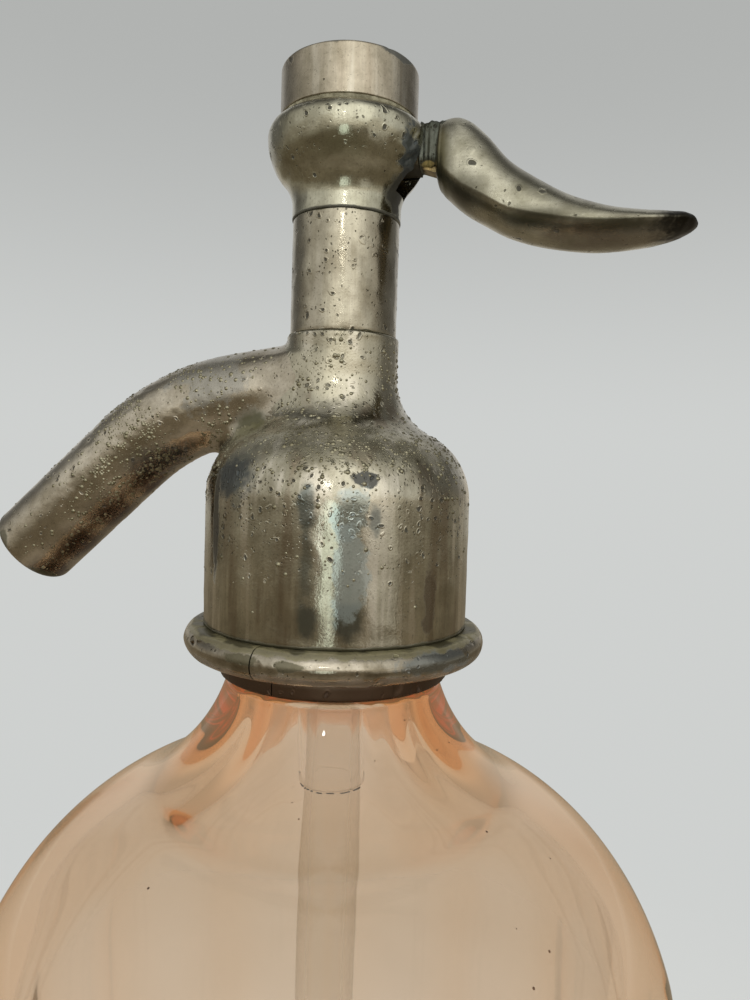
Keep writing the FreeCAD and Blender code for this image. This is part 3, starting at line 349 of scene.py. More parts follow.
@dataclass(frozen=True)
class Metal:
    """Tarnished tin alloy: blotches, brushing, pits, streaks, dirt and patches of painted shade
    and reflection.
    """

    name: str
    light: Colour = (0.42, 0.395, 0.305)
    tarnish: Colour = (0.215, 0.19, 0.135)
    grain: Grain = Grain.UPRIGHT
    grain_depth: float = 0.004
    roughness: tuple[float, float] = (0.10, 0.26)
    pits: float = 0.25
    pit_size: float = 1.5
    pit_range: tuple[float, float] = (0.0, 400.0)
    pit_fade: float = 4.0
    lumps: float = 0.012
    sand: float = 0.012
    streaks: float = 0.0
    lines: tuple[Line, ...] = ()
    patches: tuple[Patch, ...] = ()

    def pitting(self, paint: Paint, place: Socket, height: Value, blotch: Value,
                cloud: Value) -> tuple[Value, Value, Value]:
        """Masks of the pits, the rims round them and the small pits between them.

        Only cells whose random number lies under the local density have a pit.

        Args:
            paint: the metal's tree.
            place: the point.
            height: its height in millimetres.
            blotch: the broad noise, which crowds the pits.
            cloud: the soft noise, which makes them uneven.

        Returns:
            Pits, rims and small pits.
        """
        shift = paint.node("ShaderNodeTexNoise", inputs={
            "Vector": place, "Scale": 1.0 / (3.1 * MM), "Detail": 2.0}).outputs["Color"]
        loose = paint.vectors("MULTIPLY_ADD", shift, (2.4 * MM,) * 3, place).outputs[0]
        low, high = self.pit_range
        zone = (height.step(low - self.pit_fade, low)
                * height.step(high + self.pit_fade, high))
        crowd = zone * (0.45 + 1.1 * blotch) * self.pits
        reach, pick = paint.cells(loose, self.pit_size)
        chosen = (crowd - pick).step(0.0, 0.04)
        pit = (reach + 0.10 * cloud).step(0.34, 0.20) * chosen
        rim = (reach + 0.10 * cloud).step(0.48, 0.36) * chosen - pit
        reach, pick = paint.cells(loose, self.pit_size * 0.42)
        small = reach.step(0.36, 0.18) * (crowd * 0.8 - pick).step(0.0, 0.05)
        return pit, rim, small

    def material(self) -> bpy.types.Material:
        """Build the node tree.

        Returns:
            The material.
        """
        paint = Paint.material(self.name)
        place = paint.place()
        height = paint.parts(place)[2] * (1.0 / MM)
        blotch = paint.noise(place, 14.0, 4.0, 0.6, 0.6)
        cloud = paint.noise(place, 4.0, 5.0, 0.62)
        speck = paint.noise(place, 0.7, 3.0, 0.6)
        brush = paint.noise(paint.stretch(place, self.grain.value), 0.45, 3.0, 0.7)
        grit = paint.noise(place, 0.32, 2.0, 0.5)

        tarnish = (blotch * 0.55 + cloud * 0.45).step(0.36, 0.66)
        colour = paint.mix(tarnish, self.light, self.tarnish)
        fine = (brush * 0.6 + speck * 0.4).step(0.30, 0.72)
        colour = paint.mix(fine * 0.28, colour, GRIME)
        if self.streaks:
            run = paint.noise(paint.stretch(place, (1.0, 1.0, 0.10)), 3.4, 3.0, 0.55)
            colour = paint.mix(run.step(0.50, 0.68) * self.streaks * 0.8, colour, RUN_DARK)
            colour = paint.mix(run.step(0.47, 0.33) * self.streaks, colour, RUN_PALE)
        pit, rim, small = self.pitting(paint, place, height, blotch, cloud)
        colour = paint.mix(pit * 0.9, colour, PIT_FLOOR)
        colour = paint.mix(small * 0.7, colour, SMALL_PIT)

        low, high = self.roughness
        rough = low + (high - low) * (0.6 * tarnish + 0.4 * speck)
        rough = rough + 0.3 * pit + 0.15 * small
        metallic = 1.0 - 0.45 * pit
        for line in self.lines:
            mask = line.mask(height, cloud)
            colour = paint.mix(mask, colour, line.colour)
            rough = rough + 0.3 * mask
            metallic = metallic - line.hides * mask
        for patch in self.patches:
            mask = patch.mask(paint, place, cloud, speck)
            colour = paint.mix(mask, colour, patch.colour)
            rough = rough + (patch.roughness - 0.25) * mask
            metallic = metallic - patch.hides * mask
        colour = paint.mix(grit.step(0.60, 0.72) * 0.35, colour, GRIT)
        relief = (self.lumps * (cloud + 0.5 * speck) + self.grain_depth * brush
                  + self.sand * grit - 0.12 * pit + 0.03 * rim - 0.04 * small)
        shader = paint.node("ShaderNodeBsdfPrincipled", inputs={
            "Base Color": colour, "Roughness": rough.most(0.08).least(0.9),
            "Metallic": metallic.most(0.1), "Normal": paint.bump(relief)})
        return paint.finish(shader.outputs[0])


@dataclass(frozen=True)
class Plain:
    """Rubber, leather, brass and other simple finishes with their own mottling."""

    name: str
    light: Colour
    dark: Colour
    roughness: tuple[float, float]
    metallic: float = 0.0
    mottle: float = 2.0
    relief: float = 0.02

    def material(self) -> bpy.types.Material:
        """Build the node tree.

        Returns:
            The material.
        """
        paint = Paint.material(self.name)
        place = paint.place()
        cloud = paint.noise(place, self.mottle, 5.0, 0.6, 0.3)
        speck = paint.noise(place, self.mottle * 0.2, 3.0, 0.6)
        colour = paint.mix(cloud.step(0.35, 0.65), self.light, self.dark)
        rough = self.roughness[0] + (self.roughness[1] - self.roughness[0]) * speck
        shader = paint.node("ShaderNodeBsdfPrincipled", inputs={
            "Base Color": colour, "Roughness": rough, "Metallic": self.metallic,
            "Normal": paint.bump(self.relief * (cloud + speck))})
        return paint.finish(shader.outputs[0])


@dataclass(frozen=True)
class Glass:
    """Tinted glass: clear surface, colour from its thickness, faint waves.

    Painted glow: the inside gives off light of its own, though it is no lamp, so that long
    ways through the wall end brown and not black.
    """

    name: str
    absorb: Colour = (0.90, 0.53, 0.13)
    density: float = 58.0
    painted_glow: Colour = (3.0, 3.2, 2.2)
    surface: Colour = (0.925, 0.92, 0.915)
    wave: float = 0.02
    haze: float = 0.0
    ior: float = 1.5

    def material(self) -> bpy.types.Material:
        """Build the node tree.

        Returns:
            The material.
        """
        paint = Paint.material(self.name)
        place = paint.place()
        slow = paint.noise(place, 26.0, 2.0, 0.4)
        drawn = paint.noise(paint.stretch(place, (1.0, 1.0, 0.25)), 9.0, 2.0, 0.4)
        dust = paint.noise(place, 1.2, 4.0, 0.7)
        rough = self.haze + 0.03 * dust.step(0.62, 0.8)
        shader = paint.node("ShaderNodeBsdfPrincipled", inputs={
            "Base Color": self.surface, "Roughness": rough, "IOR": self.ior,
            "Transmission Weight": 1.0,
            "Normal": paint.bump(self.wave * (3.0 * slow + drawn))})
        volume = paint.node("ShaderNodeVolumeAbsorption", inputs={
            "Color": self.absorb, "Density": self.density})
        painted_glow = paint.node("ShaderNodeEmission", inputs={"Color": self.painted_glow, "Strength": 1.0})
        inside = paint.node("ShaderNodeAddShader", inputs={0: volume.outputs[0],
                                                           1: painted_glow.outputs[0]})
        return paint.finish(shader.outputs[0], inside.outputs[0])


# ---- Surfaces ----

class Outline:
    """A profile of lines and arcs, as points (radius, height) at a given spacing."""

    def __init__(self, x: float, y: float, spacing: float = 0.5) -> None:
        """Start at a point."""
        self.rows: list[Array] = [np.array([[x, y]], float)]
        self.spacing = spacing

    def _end(self) -> Array:
        """The last point."""
        return self.rows[-1][-1]

    def line(self, x: float, y: float, spacing: float | None = None) -> "Outline":
        """A straight run to a point, in equal steps no longer than the spacing.

        Args:
            x: the end's radius from the axis.
            y: the end's height.
            spacing: largest step, or the outline's own.

        Returns:
            The outline, longer by the run.
        """
        start, end = self._end(), np.array([x, y], float)
        length = float(np.hypot(*(end - start)))
        count = max(1, math.ceil(length / (spacing or self.spacing)))
        share = np.linspace(0.0, 1.0, count + 1)[1:, None]
        self.rows.append(start + (end - start) * share)
        return self

    def arc(self, x: float, y: float, radius: float, turn: int,
            spacing: float | None = None) -> "Outline":
        """The minor arc of that radius to a point.

        Args:
            x: the end's radius from the axis.
            y: the end's height.
            radius: radius of the arc.
            turn: +1 if its centre lies on the left of the travel, -1 if on the right.
            spacing: largest step, or the outline's own.

        Returns:
            The outline, longer by the arc.
        """
        start, end = self._end(), np.array([x, y], float)
        chord = end - start
        length = float(np.hypot(*chord))
        across = np.array([-chord[1], chord[0]]) / length
        rise = math.sqrt(max(radius ** 2 - (length / 2) ** 2, 0.0))
        centre = (start + end) / 2 + across * turn * rise
        begin = math.atan2(*(start - centre)[::-1])
        sweep = 2 * math.asin(min(1.0, length / 2 / radius)) * turn
        count = max(2, math.ceil(abs(sweep) * radius / (spacing or self.spacing)))
        angles = begin + sweep * np.linspace(0.0, 1.0, count + 1)[1:]
        self.rows.append(centre + radius * np.column_stack([np.cos(angles), np.sin(angles)]))
        return self

    def points(self) -> Array:
        """All points, one row each."""
        return np.vstack(self.rows)


def turned(profile: Array, steps: int, start: float = 0.0, sweep: float = 360.0) -> Array:
    """A surface of revolution: each profile point (r, z) at each angle a is (r cos a, r sin a, z).

    Args:
        profile: rows of radius and height.
        steps: columns of the grid.
        start: first angle in degrees.
        sweep: how far round it goes; 360 leaves the last column out.

    Returns:
        A grid of points, rows along the profile and columns round the axis.
    """
    whole = abs(sweep - 360.0) < 1e-9
    angles = np.radians(start + sweep * np.arange(steps) / (steps if whole else steps - 1))
    radius, height = profile[:, 0, None], profile[:, 1, None]
    return np.stack([radius * np.cos(angles), radius * np.sin(angles),
                     np.broadcast_to(height, (len(profile), steps))], axis=-1)


def ripple(points: Array, size: float, seed: int, waves: int = 28) -> Array:
    """A smooth random field: the mean of sine waves in random directions, about -1 to 1.

    Args:
        points: any array whose last axis is x, y, z.
        size: rough width of a bump in millimetres.
        seed: seed of the directions and phases.
        waves: how many waves are added.

    Returns:
        One number for each point.
    """
    draw = np.random.default_rng(seed)
    directions = draw.normal(size=(waves, 3))
    directions /= np.linalg.norm(directions, axis=1)[:, None]
    pitch = size * draw.uniform(1.4, 2.6, waves)
    phases = draw.uniform(0.0, 2 * np.pi, waves)
    total = np.zeros(points.shape[:-1])
    for direction, length, phase in zip(directions, pitch, phases):
        total += np.sin(points @ direction * (2 * np.pi / length) + phase)
    return total / math.sqrt(waves)


def grid_normals(grid: Array, around: bool) -> Array:
    """Unit normals of a grid: the cross product of its two directions of travel.

    Args:
        grid: points as rows, columns and x, y, z.
        around: whether the last column joins the first.

    Returns:
        The normals, in the grid's own shape.
    """
    along = np.gradient(grid, axis=0)
    if around:
        across = (np.roll(grid, -1, axis=1) - np.roll(grid, 1, axis=1)) / 2
    else:
        across = np.gradient(grid, axis=1)
    normal = np.cross(across, along)
    return normal / np.maximum(np.linalg.norm(normal, axis=-1, keepdims=True), 1e-12)


def sag_radius(reach: float, rise: float) -> float:
    """Radius of the arc that rises over a reach: (reach^2 + rise^2) / (2 rise)."""
    return (reach ** 2 + rise ** 2) / (2.0 * rise)


def stand(name: str, data: bpy.types.ID) -> bpy.types.Object:
    """Put a mesh, a light or a camera into the scene.

    Args:
        name: the object's name.
        data: what it holds.

    Returns:
        The object.
    """
    thing = bpy.data.objects.new(name, data)
    bpy.context.scene.collection.objects.link(thing)
    return thing


class Piece:
    """A mesh put together from grids and made into one object that rides on a body."""

    def __init__(self, name: str) -> None:
        """Start with no points."""
        self.name = name
        self.points: list[Array] = []
        self.faces: list[list[int]] = []
        self.count = 0

    def grid(self, grid: Array, around: bool = True, looped: bool = False) -> "Piece":
        """Add a grid of four-sided faces.

        Args:
            grid: points as rows, columns and x, y, z.
            around: whether the last column joins the first.
            looped: whether the last row joins the first.

        Returns:
            The piece.
        """
        rows, columns = grid.shape[:2]
        index = np.arange(rows * columns).reshape(rows, columns) + self.count
        if around:
            index = np.hstack([index, index[:, :1]])
        if looped:
            index = np.vstack([index, index[:1]])
        quads = np.stack([index[:-1, :-1], index[:-1, 1:], index[1:, 1:], index[1:, :-1]],
                         axis=-1).reshape(-1, 4)
        self.points.append(grid.reshape(-1, 3))
        self.faces.extend(quads.tolist())
        self.count += rows * columns
        return self

    def lid(self, ring: Array) -> "Piece":
        """Add one face.

        Args:
            ring: its corners in order.

        Returns:
            The piece.
        """
        self.points.append(ring)
        self.faces.append(list(range(self.count, self.count + len(ring))))
        self.count += len(ring)
        return self

    def mesh(self, smooth: float | None = None) -> bpy.types.Mesh:
        """Make the mesh: merge doubles, turn faces outwards and shade.

        Args:
            smooth: edges sharper than this angle in degrees stay hard; None leaves it flat.

        Returns:
            The mesh, in metres.
        """
        mesh = bpy.data.meshes.new(self.name)
        mesh.from_pydata((np.vstack(self.points) * MM).tolist(), [], self.faces)
        shape = bmesh.new()
        shape.from_mesh(mesh)
        bmesh.ops.remove_doubles(shape, verts=shape.verts, dist=MERGE * MM)
        bmesh.ops.dissolve_degenerate(shape, edges=shape.edges, dist=1e-9)
        bmesh.ops.recalc_face_normals(shape, faces=shape.faces)
        if smooth is not None:
            hard = math.radians(smooth)
            for edge in shape.edges:
                if len(edge.link_faces) == 2 and edge.calc_face_angle(0.0) > hard:
                    edge.smooth = False
            for face in shape.faces:
                face.smooth = True
        shape.to_mesh(mesh)
        shape.free()
        return mesh

    def build(self, body: str, slot: str, material: bpy.types.Material,
              replaces: Sequence[str] = (), smooth: float = 180.0) -> bpy.types.Object:
        """Make the object, dress it and let it ride on its body.

        Args:
            body: the CAD body that it moves with.
            slot: the record's material slot; not used.
            material: its finish.
            replaces: CAD nodes that it stands for.
            smooth: edges sharper than this angle in degrees stay hard.

        Returns:
            The object.
        """
        mesh = self.mesh(smooth)
        mesh.materials.append(material)
        piece = stand(self.name, mesh)
        if replaces:
            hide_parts(*replaces)
        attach(piece, body)
        LOG.info("%s: %d faces on %s", self.name, len(mesh.polygons), body)
        return piece


def carve(piece: bpy.types.Object, cutter: bpy.types.Object) -> None:
    """Cut a solid out of a piece and delete the solid.

    Args:
        piece: the object that loses it.
        cutter: the solid.
    """
    modifier = piece.modifiers.new("cut", "BOOLEAN")
    modifier.operation = "DIFFERENCE"
    modifier.solver = "EXACT"
    modifier.object = cutter
    bpy.context.view_layer.update()
    graph = bpy.context.evaluated_depsgraph_get()
    mesh = bpy.data.meshes.new_from_object(piece.evaluated_get(graph))
    piece.modifiers.clear()
    old = piece.data
    piece.data = mesh
    bpy.data.meshes.remove(old)
    bpy.data.objects.remove(cutter)


def block(low: Point, high: Point) -> bpy.types.Object:
    """A box that serves as a cutter.

    Args:
        low: its lowest corner in millimetres.
        high: its highest corner.

    Returns:
        The box.
    """
    x, y, z = (np.array([a, b]) * MM for a, b in zip(low, high))
    corners = [(x[i], y[j], z[k]) for i in (0, 1) for j in (0, 1) for k in (0, 1)]
    faces = [(0, 1, 3, 2), (4, 6, 7, 5), (0, 4, 5, 1), (2, 3, 7, 6), (0, 2, 6, 4), (1, 5, 7, 3)]
    mesh = bpy.data.meshes.new("cutter")
    mesh.from_pydata(corners, [], faces)
    return stand("cutter", mesh)


def blisters(centres: Array, normals: Array, sizes: Array, lift: float = 0.5) -> Array:
    """Low domes scattered on a surface.

    Each dome is rings of eight points round its centre: at share t of its radius R the
    height above the surface is lift * R * (1 - t^2), so that it ends on the surface.

    Args:
        centres: where the domes stand.
        normals: unit normals there.
        sizes: radii of the domes.
        lift: height of a dome over its radius.

    Returns:
        Points as dome, ring, corner and x, y, z; ring 0 is the foot and the last the top.
    """
    helper = np.where(np.abs(normals[:, 2:3]) < 0.8, [[0.0, 0.0, 1.0]], [[1.0, 0.0, 0.0]])
    first = np.cross(normals, helper)
    first /= np.linalg.norm(first, axis=1)[:, None]
    second = np.cross(normals, first)
    shares = np.array([1.25, 0.72, 0.36, 0.0])
    heights = lift * np.array([-0.35, 0.55, 0.92, 1.0])
    angles = np.linspace(0.0, 2 * np.pi, 8, endpoint=False)
    radial = (np.cos(angles)[:, None] * first[:, None] + np.sin(angles)[:, None] * second[:, None])
    return (centres[:, None, None] + sizes[:, None, None, None]
            * (shares[None, :, None, None] * radial[:, None]
               + heights[None, :, None, None] * normals[:, None, None]))


def scatter(piece: Piece, grid: Array, normals: Array, count: int,
            weight: Callable[[Array], Array], sizes: tuple[float, float], seed: int,
            lift: float = 0.5) -> None:
    """Add blisters to a piece at random points of a grid.

    Args:
        piece: the piece that takes them.
        grid: the surface's points.
        normals: its unit normals.
        count: how many domes.
        weight: chance of each point, from its place.
        sizes: smallest and largest radius.
        seed: seed of the draw.
        lift: height over radius.
    """
    draw = np.random.default_rng(seed)
    points, directions = grid.reshape(-1, 3), normals.reshape(-1, 3)
    chance = np.clip(weight(points), 0.0, None)
    chosen = draw.choice(len(points), size=count, replace=False, p=chance / chance.sum())
    radii = sizes[0] + (sizes[1] - sizes[0]) * draw.random(count) ** 2.5
    domes = blisters(points[chosen], directions[chosen], radii, lift)
    for dome in domes:
        piece.grid(dome)


# ---- Bottle ----

@dataclass
class DipTube:
    """Glass tube with its flange and slanted foot, and the clear sheath round its top."""

    bore: float = 2.8
    radius: float = 4.6
    foot: float = 24.0
    foot_slant: float = 2.4
    flange: float = 7.0
    flange_low: float = 243.2
    top: float = 245.0
    edge: float = 0.3
    sheath_bore: float = 4.66
    sheath: float = 5.5
    sheath_low: float = 200.6
    sheath_top: float = 236.7

    def wall(self) -> Array:
        """The tube's wall as one loop.

        Returns:
            The grid; at the foot each point rises by foot_slant * (1 + x / radius).
        """
        path = Outline(self.bore, self.foot, 0.8)
        path.line(self.radius - self.edge, self.foot)
        path.arc(self.radius, self.foot + self.edge, self.edge, 1, 0.1)
        path.line(self.radius, self.flange_low, 12.0)
        path.line(self.flange - self.edge, self.flange_low)
        path.arc(self.flange, self.flange_low + self.edge, self.edge, 1, 0.1)
        path.line(self.flange, self.top - self.edge, 2.0)
        path.line(self.flange - self.edge, self.top).line(self.bore, self.top, 2.0)
        grid = turned(path.points(), 72)
        low = grid[..., 2] < self.foot + 2.0
        grid[..., 2] += np.where(low, self.foot_slant * (1.0 + grid[..., 0] / self.radius), 0.0)
        return grid

    def sleeve(self) -> Array:
        """The sheath's wall as one loop.

        Returns:
            The grid.
        """
        path = Outline(self.sheath_bore, self.sheath_low, 0.4)
        path.line(self.sheath - self.edge, self.sheath_low)
        path.arc(self.sheath, self.sheath_low + self.edge, self.edge, 1, 0.1)
        path.line(self.sheath, self.sheath_top, 3.0)
        return turned(path.line(self.sheath_bore, self.sheath_top, 1.0).points(), 96)

    def dashes(self, piece: Piece) -> None:
        """Broken dashes of dirt under the sheath's lower edge, on the side of the front.

        Args:
            piece: the piece that takes them.
        """
        draw = np.random.default_rng(47)
        inner, outer, top = 5.15, 5.42, self.sheath_low - 0.12
        angle, last = -148.0, -12.0
        while angle < last:
            sweep = draw.uniform(3.0, 17.0)
            low = top - draw.uniform(0.05, 0.11)
            edge = Outline(inner, top, 0.2)
            edge.line(outer, top).line(outer, low).line(inner, low)
            dash = turned(edge.points(), 12, angle, sweep)
            dash[..., 2] += 0.04 * ripple(dash, 0.9, 7)
            piece.grid(dash, around=False, looped=True).lid(dash[:, 0]).lid(dash[:, -1])
            angle += sweep + draw.uniform(0.5, 11.0)

    def build(self, looks: Looks) -> None:
        """Make the tube and its sheath.

        Args:
            looks: the finishes by word.
        """
        Piece("dip_tube_glass").grid(self.wall(), looped=True).build(
            "siphon", "tube_glass", looks["tube"], ["dip_tube"], smooth=40.0)
        Piece("sheath_glass").grid(self.sleeve(), looped=True).build(
            "siphon", "tube_glass", looks["sheath"], ["tube_sheath"], smooth=40.0)


@dataclass
class Bottle:
    """Glass bottle with its dip tube and the dirt on both."""

    tube: DipTube = field(default_factory=DipTube)
    height: float = 241.0
    radius: float = 56.7
    flat: float = 55.2
    panels: int = 12
    panel_turn: float = -4.6
    panel_edge: float = 0.25
    wall: float = 6.8
    foot_ring: float = 37.0
    foot_arc: float = 9.0
    foot_hollow: float = 9.0
    floor: float = 12.0
    floor_arc: float = 10.0
    floor_rise: float = 8.0
    shoulder_height: float = 165.0
    shoulder_arc: float = 40.9
    neck: float = 16.3
    neck_blend: float = 28.9
    throat_blend: float = 20.0
    ledge: float = 220.1
    ledge_edge: float = 0.8
    waist: float = 14.9
    lip: float = 17.4
    lip_bottom: float = 235.5
    lip_edge: float = 1.2
    mouth: float = 10.5
    columns: int = 288

    def outer(self) -> Array:
        """Outside profile from the foot up to the lip, with tangent arcs.

        Returns:
            Rows of radius and height.
        """
        centre = self.radius - self.shoulder_arc
        reach = self.neck + self.neck_blend - centre
        rise = math.sqrt((self.shoulder_arc + self.neck_blend) ** 2 - reach ** 2)
        share = self.shoulder_arc / (self.shoulder_arc + self.neck_blend)
        path = Outline(self.foot_ring, 0.0, 0.9)
        path.line(self.radius - self.foot_arc, 0.0)
        path.arc(self.radius, self.foot_arc, self.foot_arc, 1, 0.9)
        path.line(self.radius, self.shoulder_height, 9.0)
        path.arc(centre + reach * share, self.shoulder_height + rise * share,
                 self.shoulder_arc, 1, 0.8)
        over = self.shoulder_height + rise - self.ledge + self.ledge_edge
        shelf = self.neck + self.neck_blend - math.sqrt(self.neck_blend ** 2 - over ** 2)
        path.arc(shelf, self.ledge - self.ledge_edge, self.neck_blend, -1, 0.7)
        path.arc(shelf - self.ledge_edge, self.ledge, self.ledge_edge, 1, 0.3)
        path.line(self.waist, self.ledge, 2.0).line(self.waist, self.lip_bottom, 5.0)
        path.line(self.lip, self.lip_bottom, 2.0)
        path.line(self.lip, self.height - self.lip_edge, 2.0)
        return path.arc(self.lip - self.lip_edge, self.height, self.lip_edge, 1, 0.4).points()

    def inner(self) -> Array:
        """Inside profile from the mouth down to the floor's middle, then the foot's hollow.

        Returns:
            Rows of radius and height.
        """
        centre = self.radius - self.shoulder_arc
        radius, arc = self.radius - self.wall, self.shoulder_arc - self.wall
        reach = self.mouth + self.throat_blend - centre
        rise = math.sqrt((arc + self.throat_blend) ** 2 - reach ** 2)
        share = arc / (arc + self.throat_blend)
        floor = radius - self.floor_arc
        path = Outline(self.mouth, self.height, 0.9)
        path.line(self.mouth, self.shoulder_height + rise, 2.0)
        path.arc(centre + reach * share, self.shoulder_height + rise * share,
                 self.throat_blend, 1, 0.7)
        path.arc(radius, self.shoulder_height, arc, -1, 0.8)
        path.line(radius, self.floor + self.floor_arc, 9.0)
        path.arc(floor, self.floor, self.floor_arc, -1, 1.2)
        path.arc(0.0, self.floor + self.floor_rise, sag_radius(floor, self.floor_rise), 1, 3.0)
        path.line(0.0, self.foot_hollow, 20.0)
        path.arc(self.foot_ring, 0.0, sag_radius(self.foot_ring, self.foot_hollow), -1, 3.0)
        return path.points()

    def fold(self, hollow: Array) -> None:
        """Give the hollow soft folds towards the neck, where the glass was drawn in.

        Each point moves along its spoke by the sum of two ripples, which grow from the
        shoulder upwards and end under the mouth.

        Args:
            hollow: the grid of the inside, changed in place.
        """
        low, grow, high, end = 168.0, 40.0, 236.0, 12.0
        rise = np.clip((hollow[..., 2] - low) / grow, 0.0, 1.0)
        rise *= np.clip((high - hollow[..., 2]) / end, 0.0, 1.0)
        spoke = hollow * np.array([1.0, 1.0, 0.0])
        spoke /= np.maximum(np.linalg.norm(spoke, axis=-1, keepdims=True), 1e-9)
        folds = 0.22 * ripple(spoke * 10.0, 3.4, 91) + 0.10 * ripple(spoke * 10.0, 1.5, 92)
        hollow[..., :2] += spoke[..., :2] * (rise * rise * (3 - 2 * rise) * folds)[..., None]

    def grind(self, skin: Array) -> None:
        """Grind the outside flat in equal panels.

        On a panel the radius is the smaller of the turned radius and flat / cos(angle from
        the panel's middle), with a soft change between the two.

        Args:
            skin: the grid of the outside, changed in place.
        """
        radius = np.hypot(skin[..., 0], skin[..., 1])
        sector = 2 * np.pi / self.panels
        angle = np.arctan2(skin[..., 1], skin[..., 0]) - math.radians(self.panel_turn)
        angle = (angle + sector / 2) % sector - sector / 2
        plane = self.flat / np.cos(angle)
        soft = self.panel_edge
        blend = np.clip(0.5 + 0.5 * (plane - radius) / soft, 0.0, 1.0)
        cut = plane * (1 - blend) + radius * blend - soft * blend * (1 - blend)
        skin[..., :2] *= (np.minimum(cut, radius) / np.maximum(radius, 1e-9))[..., None]

    def shell(self) -> Array:
        """The whole wall as one loop of the profile.

        Returns:
            The grid.
        """
        outer = self.outer()
        grid = turned(np.vstack([outer, self.inner()[1:-1]]), self.columns, self.panel_turn)
        self.fold(grid[len(outer):])
        self.grind(grid[:len(outer)])
        return grid

    def specks(self, piece: Piece, count: int = 14) -> None:
        """Flat flecks of dirt that lie on the shoulder, thickest at the right of the neck.

        Args:
            piece: the piece that takes them.
            count: how many there are.
        """
        draw = np.random.default_rng(41)
        outer = self.outer()
        slope = outer[(outer[:, 1] > 188.0) & (outer[:, 1] < 219.0)]
        rows = slope[draw.integers(0, len(slope), count)]
        spread = np.where(draw.random(count) < 0.6, draw.normal(-38.0, 6.0, count),
                          draw.uniform(-130.0, 0.0, count))
        angles = np.radians(spread)
        centres = np.column_stack([rows[:, 0] * np.cos(angles), rows[:, 0] * np.sin(angles),
                                   rows[:, 1]])
        middle = np.array([self.radius - self.shoulder_arc, self.shoulder_height])
        away = rows - middle
        away /= np.linalg.norm(away, axis=1)[:, None]
        normals = np.column_stack([away[:, 0] * np.cos(angles), away[:, 0] * np.sin(angles),
                                   away[:, 1]])
        for dome in blisters(centres, normals, draw.uniform(0.06, 0.17, count), 0.25):
            piece.grid(dome)

    def build(self, looks: Looks) -> None:
        """Make the bottle, the tube and the dirt on them.

        Args:
            looks: the finishes by word.
        """
        Piece("bottle_shell").grid(self.shell(), looped=True).build(
            "siphon", "bottle_glass", looks["bottle"], ["bottle"], smooth=50.0)
        self.tube.build(looks)
        dirt = Piece("glass_dirt")
        self.tube.dashes(dirt)
        self.specks(dirt)
        dirt.build("siphon", "gasket_rubber", looks["dirt"])


# ---- Head: bell, neck, spout ----

def from_run(flat: Array, aside: Array, start: Array, end: Array) -> Array:
    """Distance of points to a straight run in the XZ plane.

    Args:
        flat: the points' x and z.
        aside: their y.
        start: one end of the run.
        end: its other end.

    Returns:
        One distance for each point.
    """
    share = np.clip(((flat - start) @ (end - start)) / ((end - start) @ (end - start)), 0.0, 1.0)
    near = start + share[..., None] * (end - start)
    return np.sqrt(((flat - near) ** 2).sum(-1) + aside ** 2)


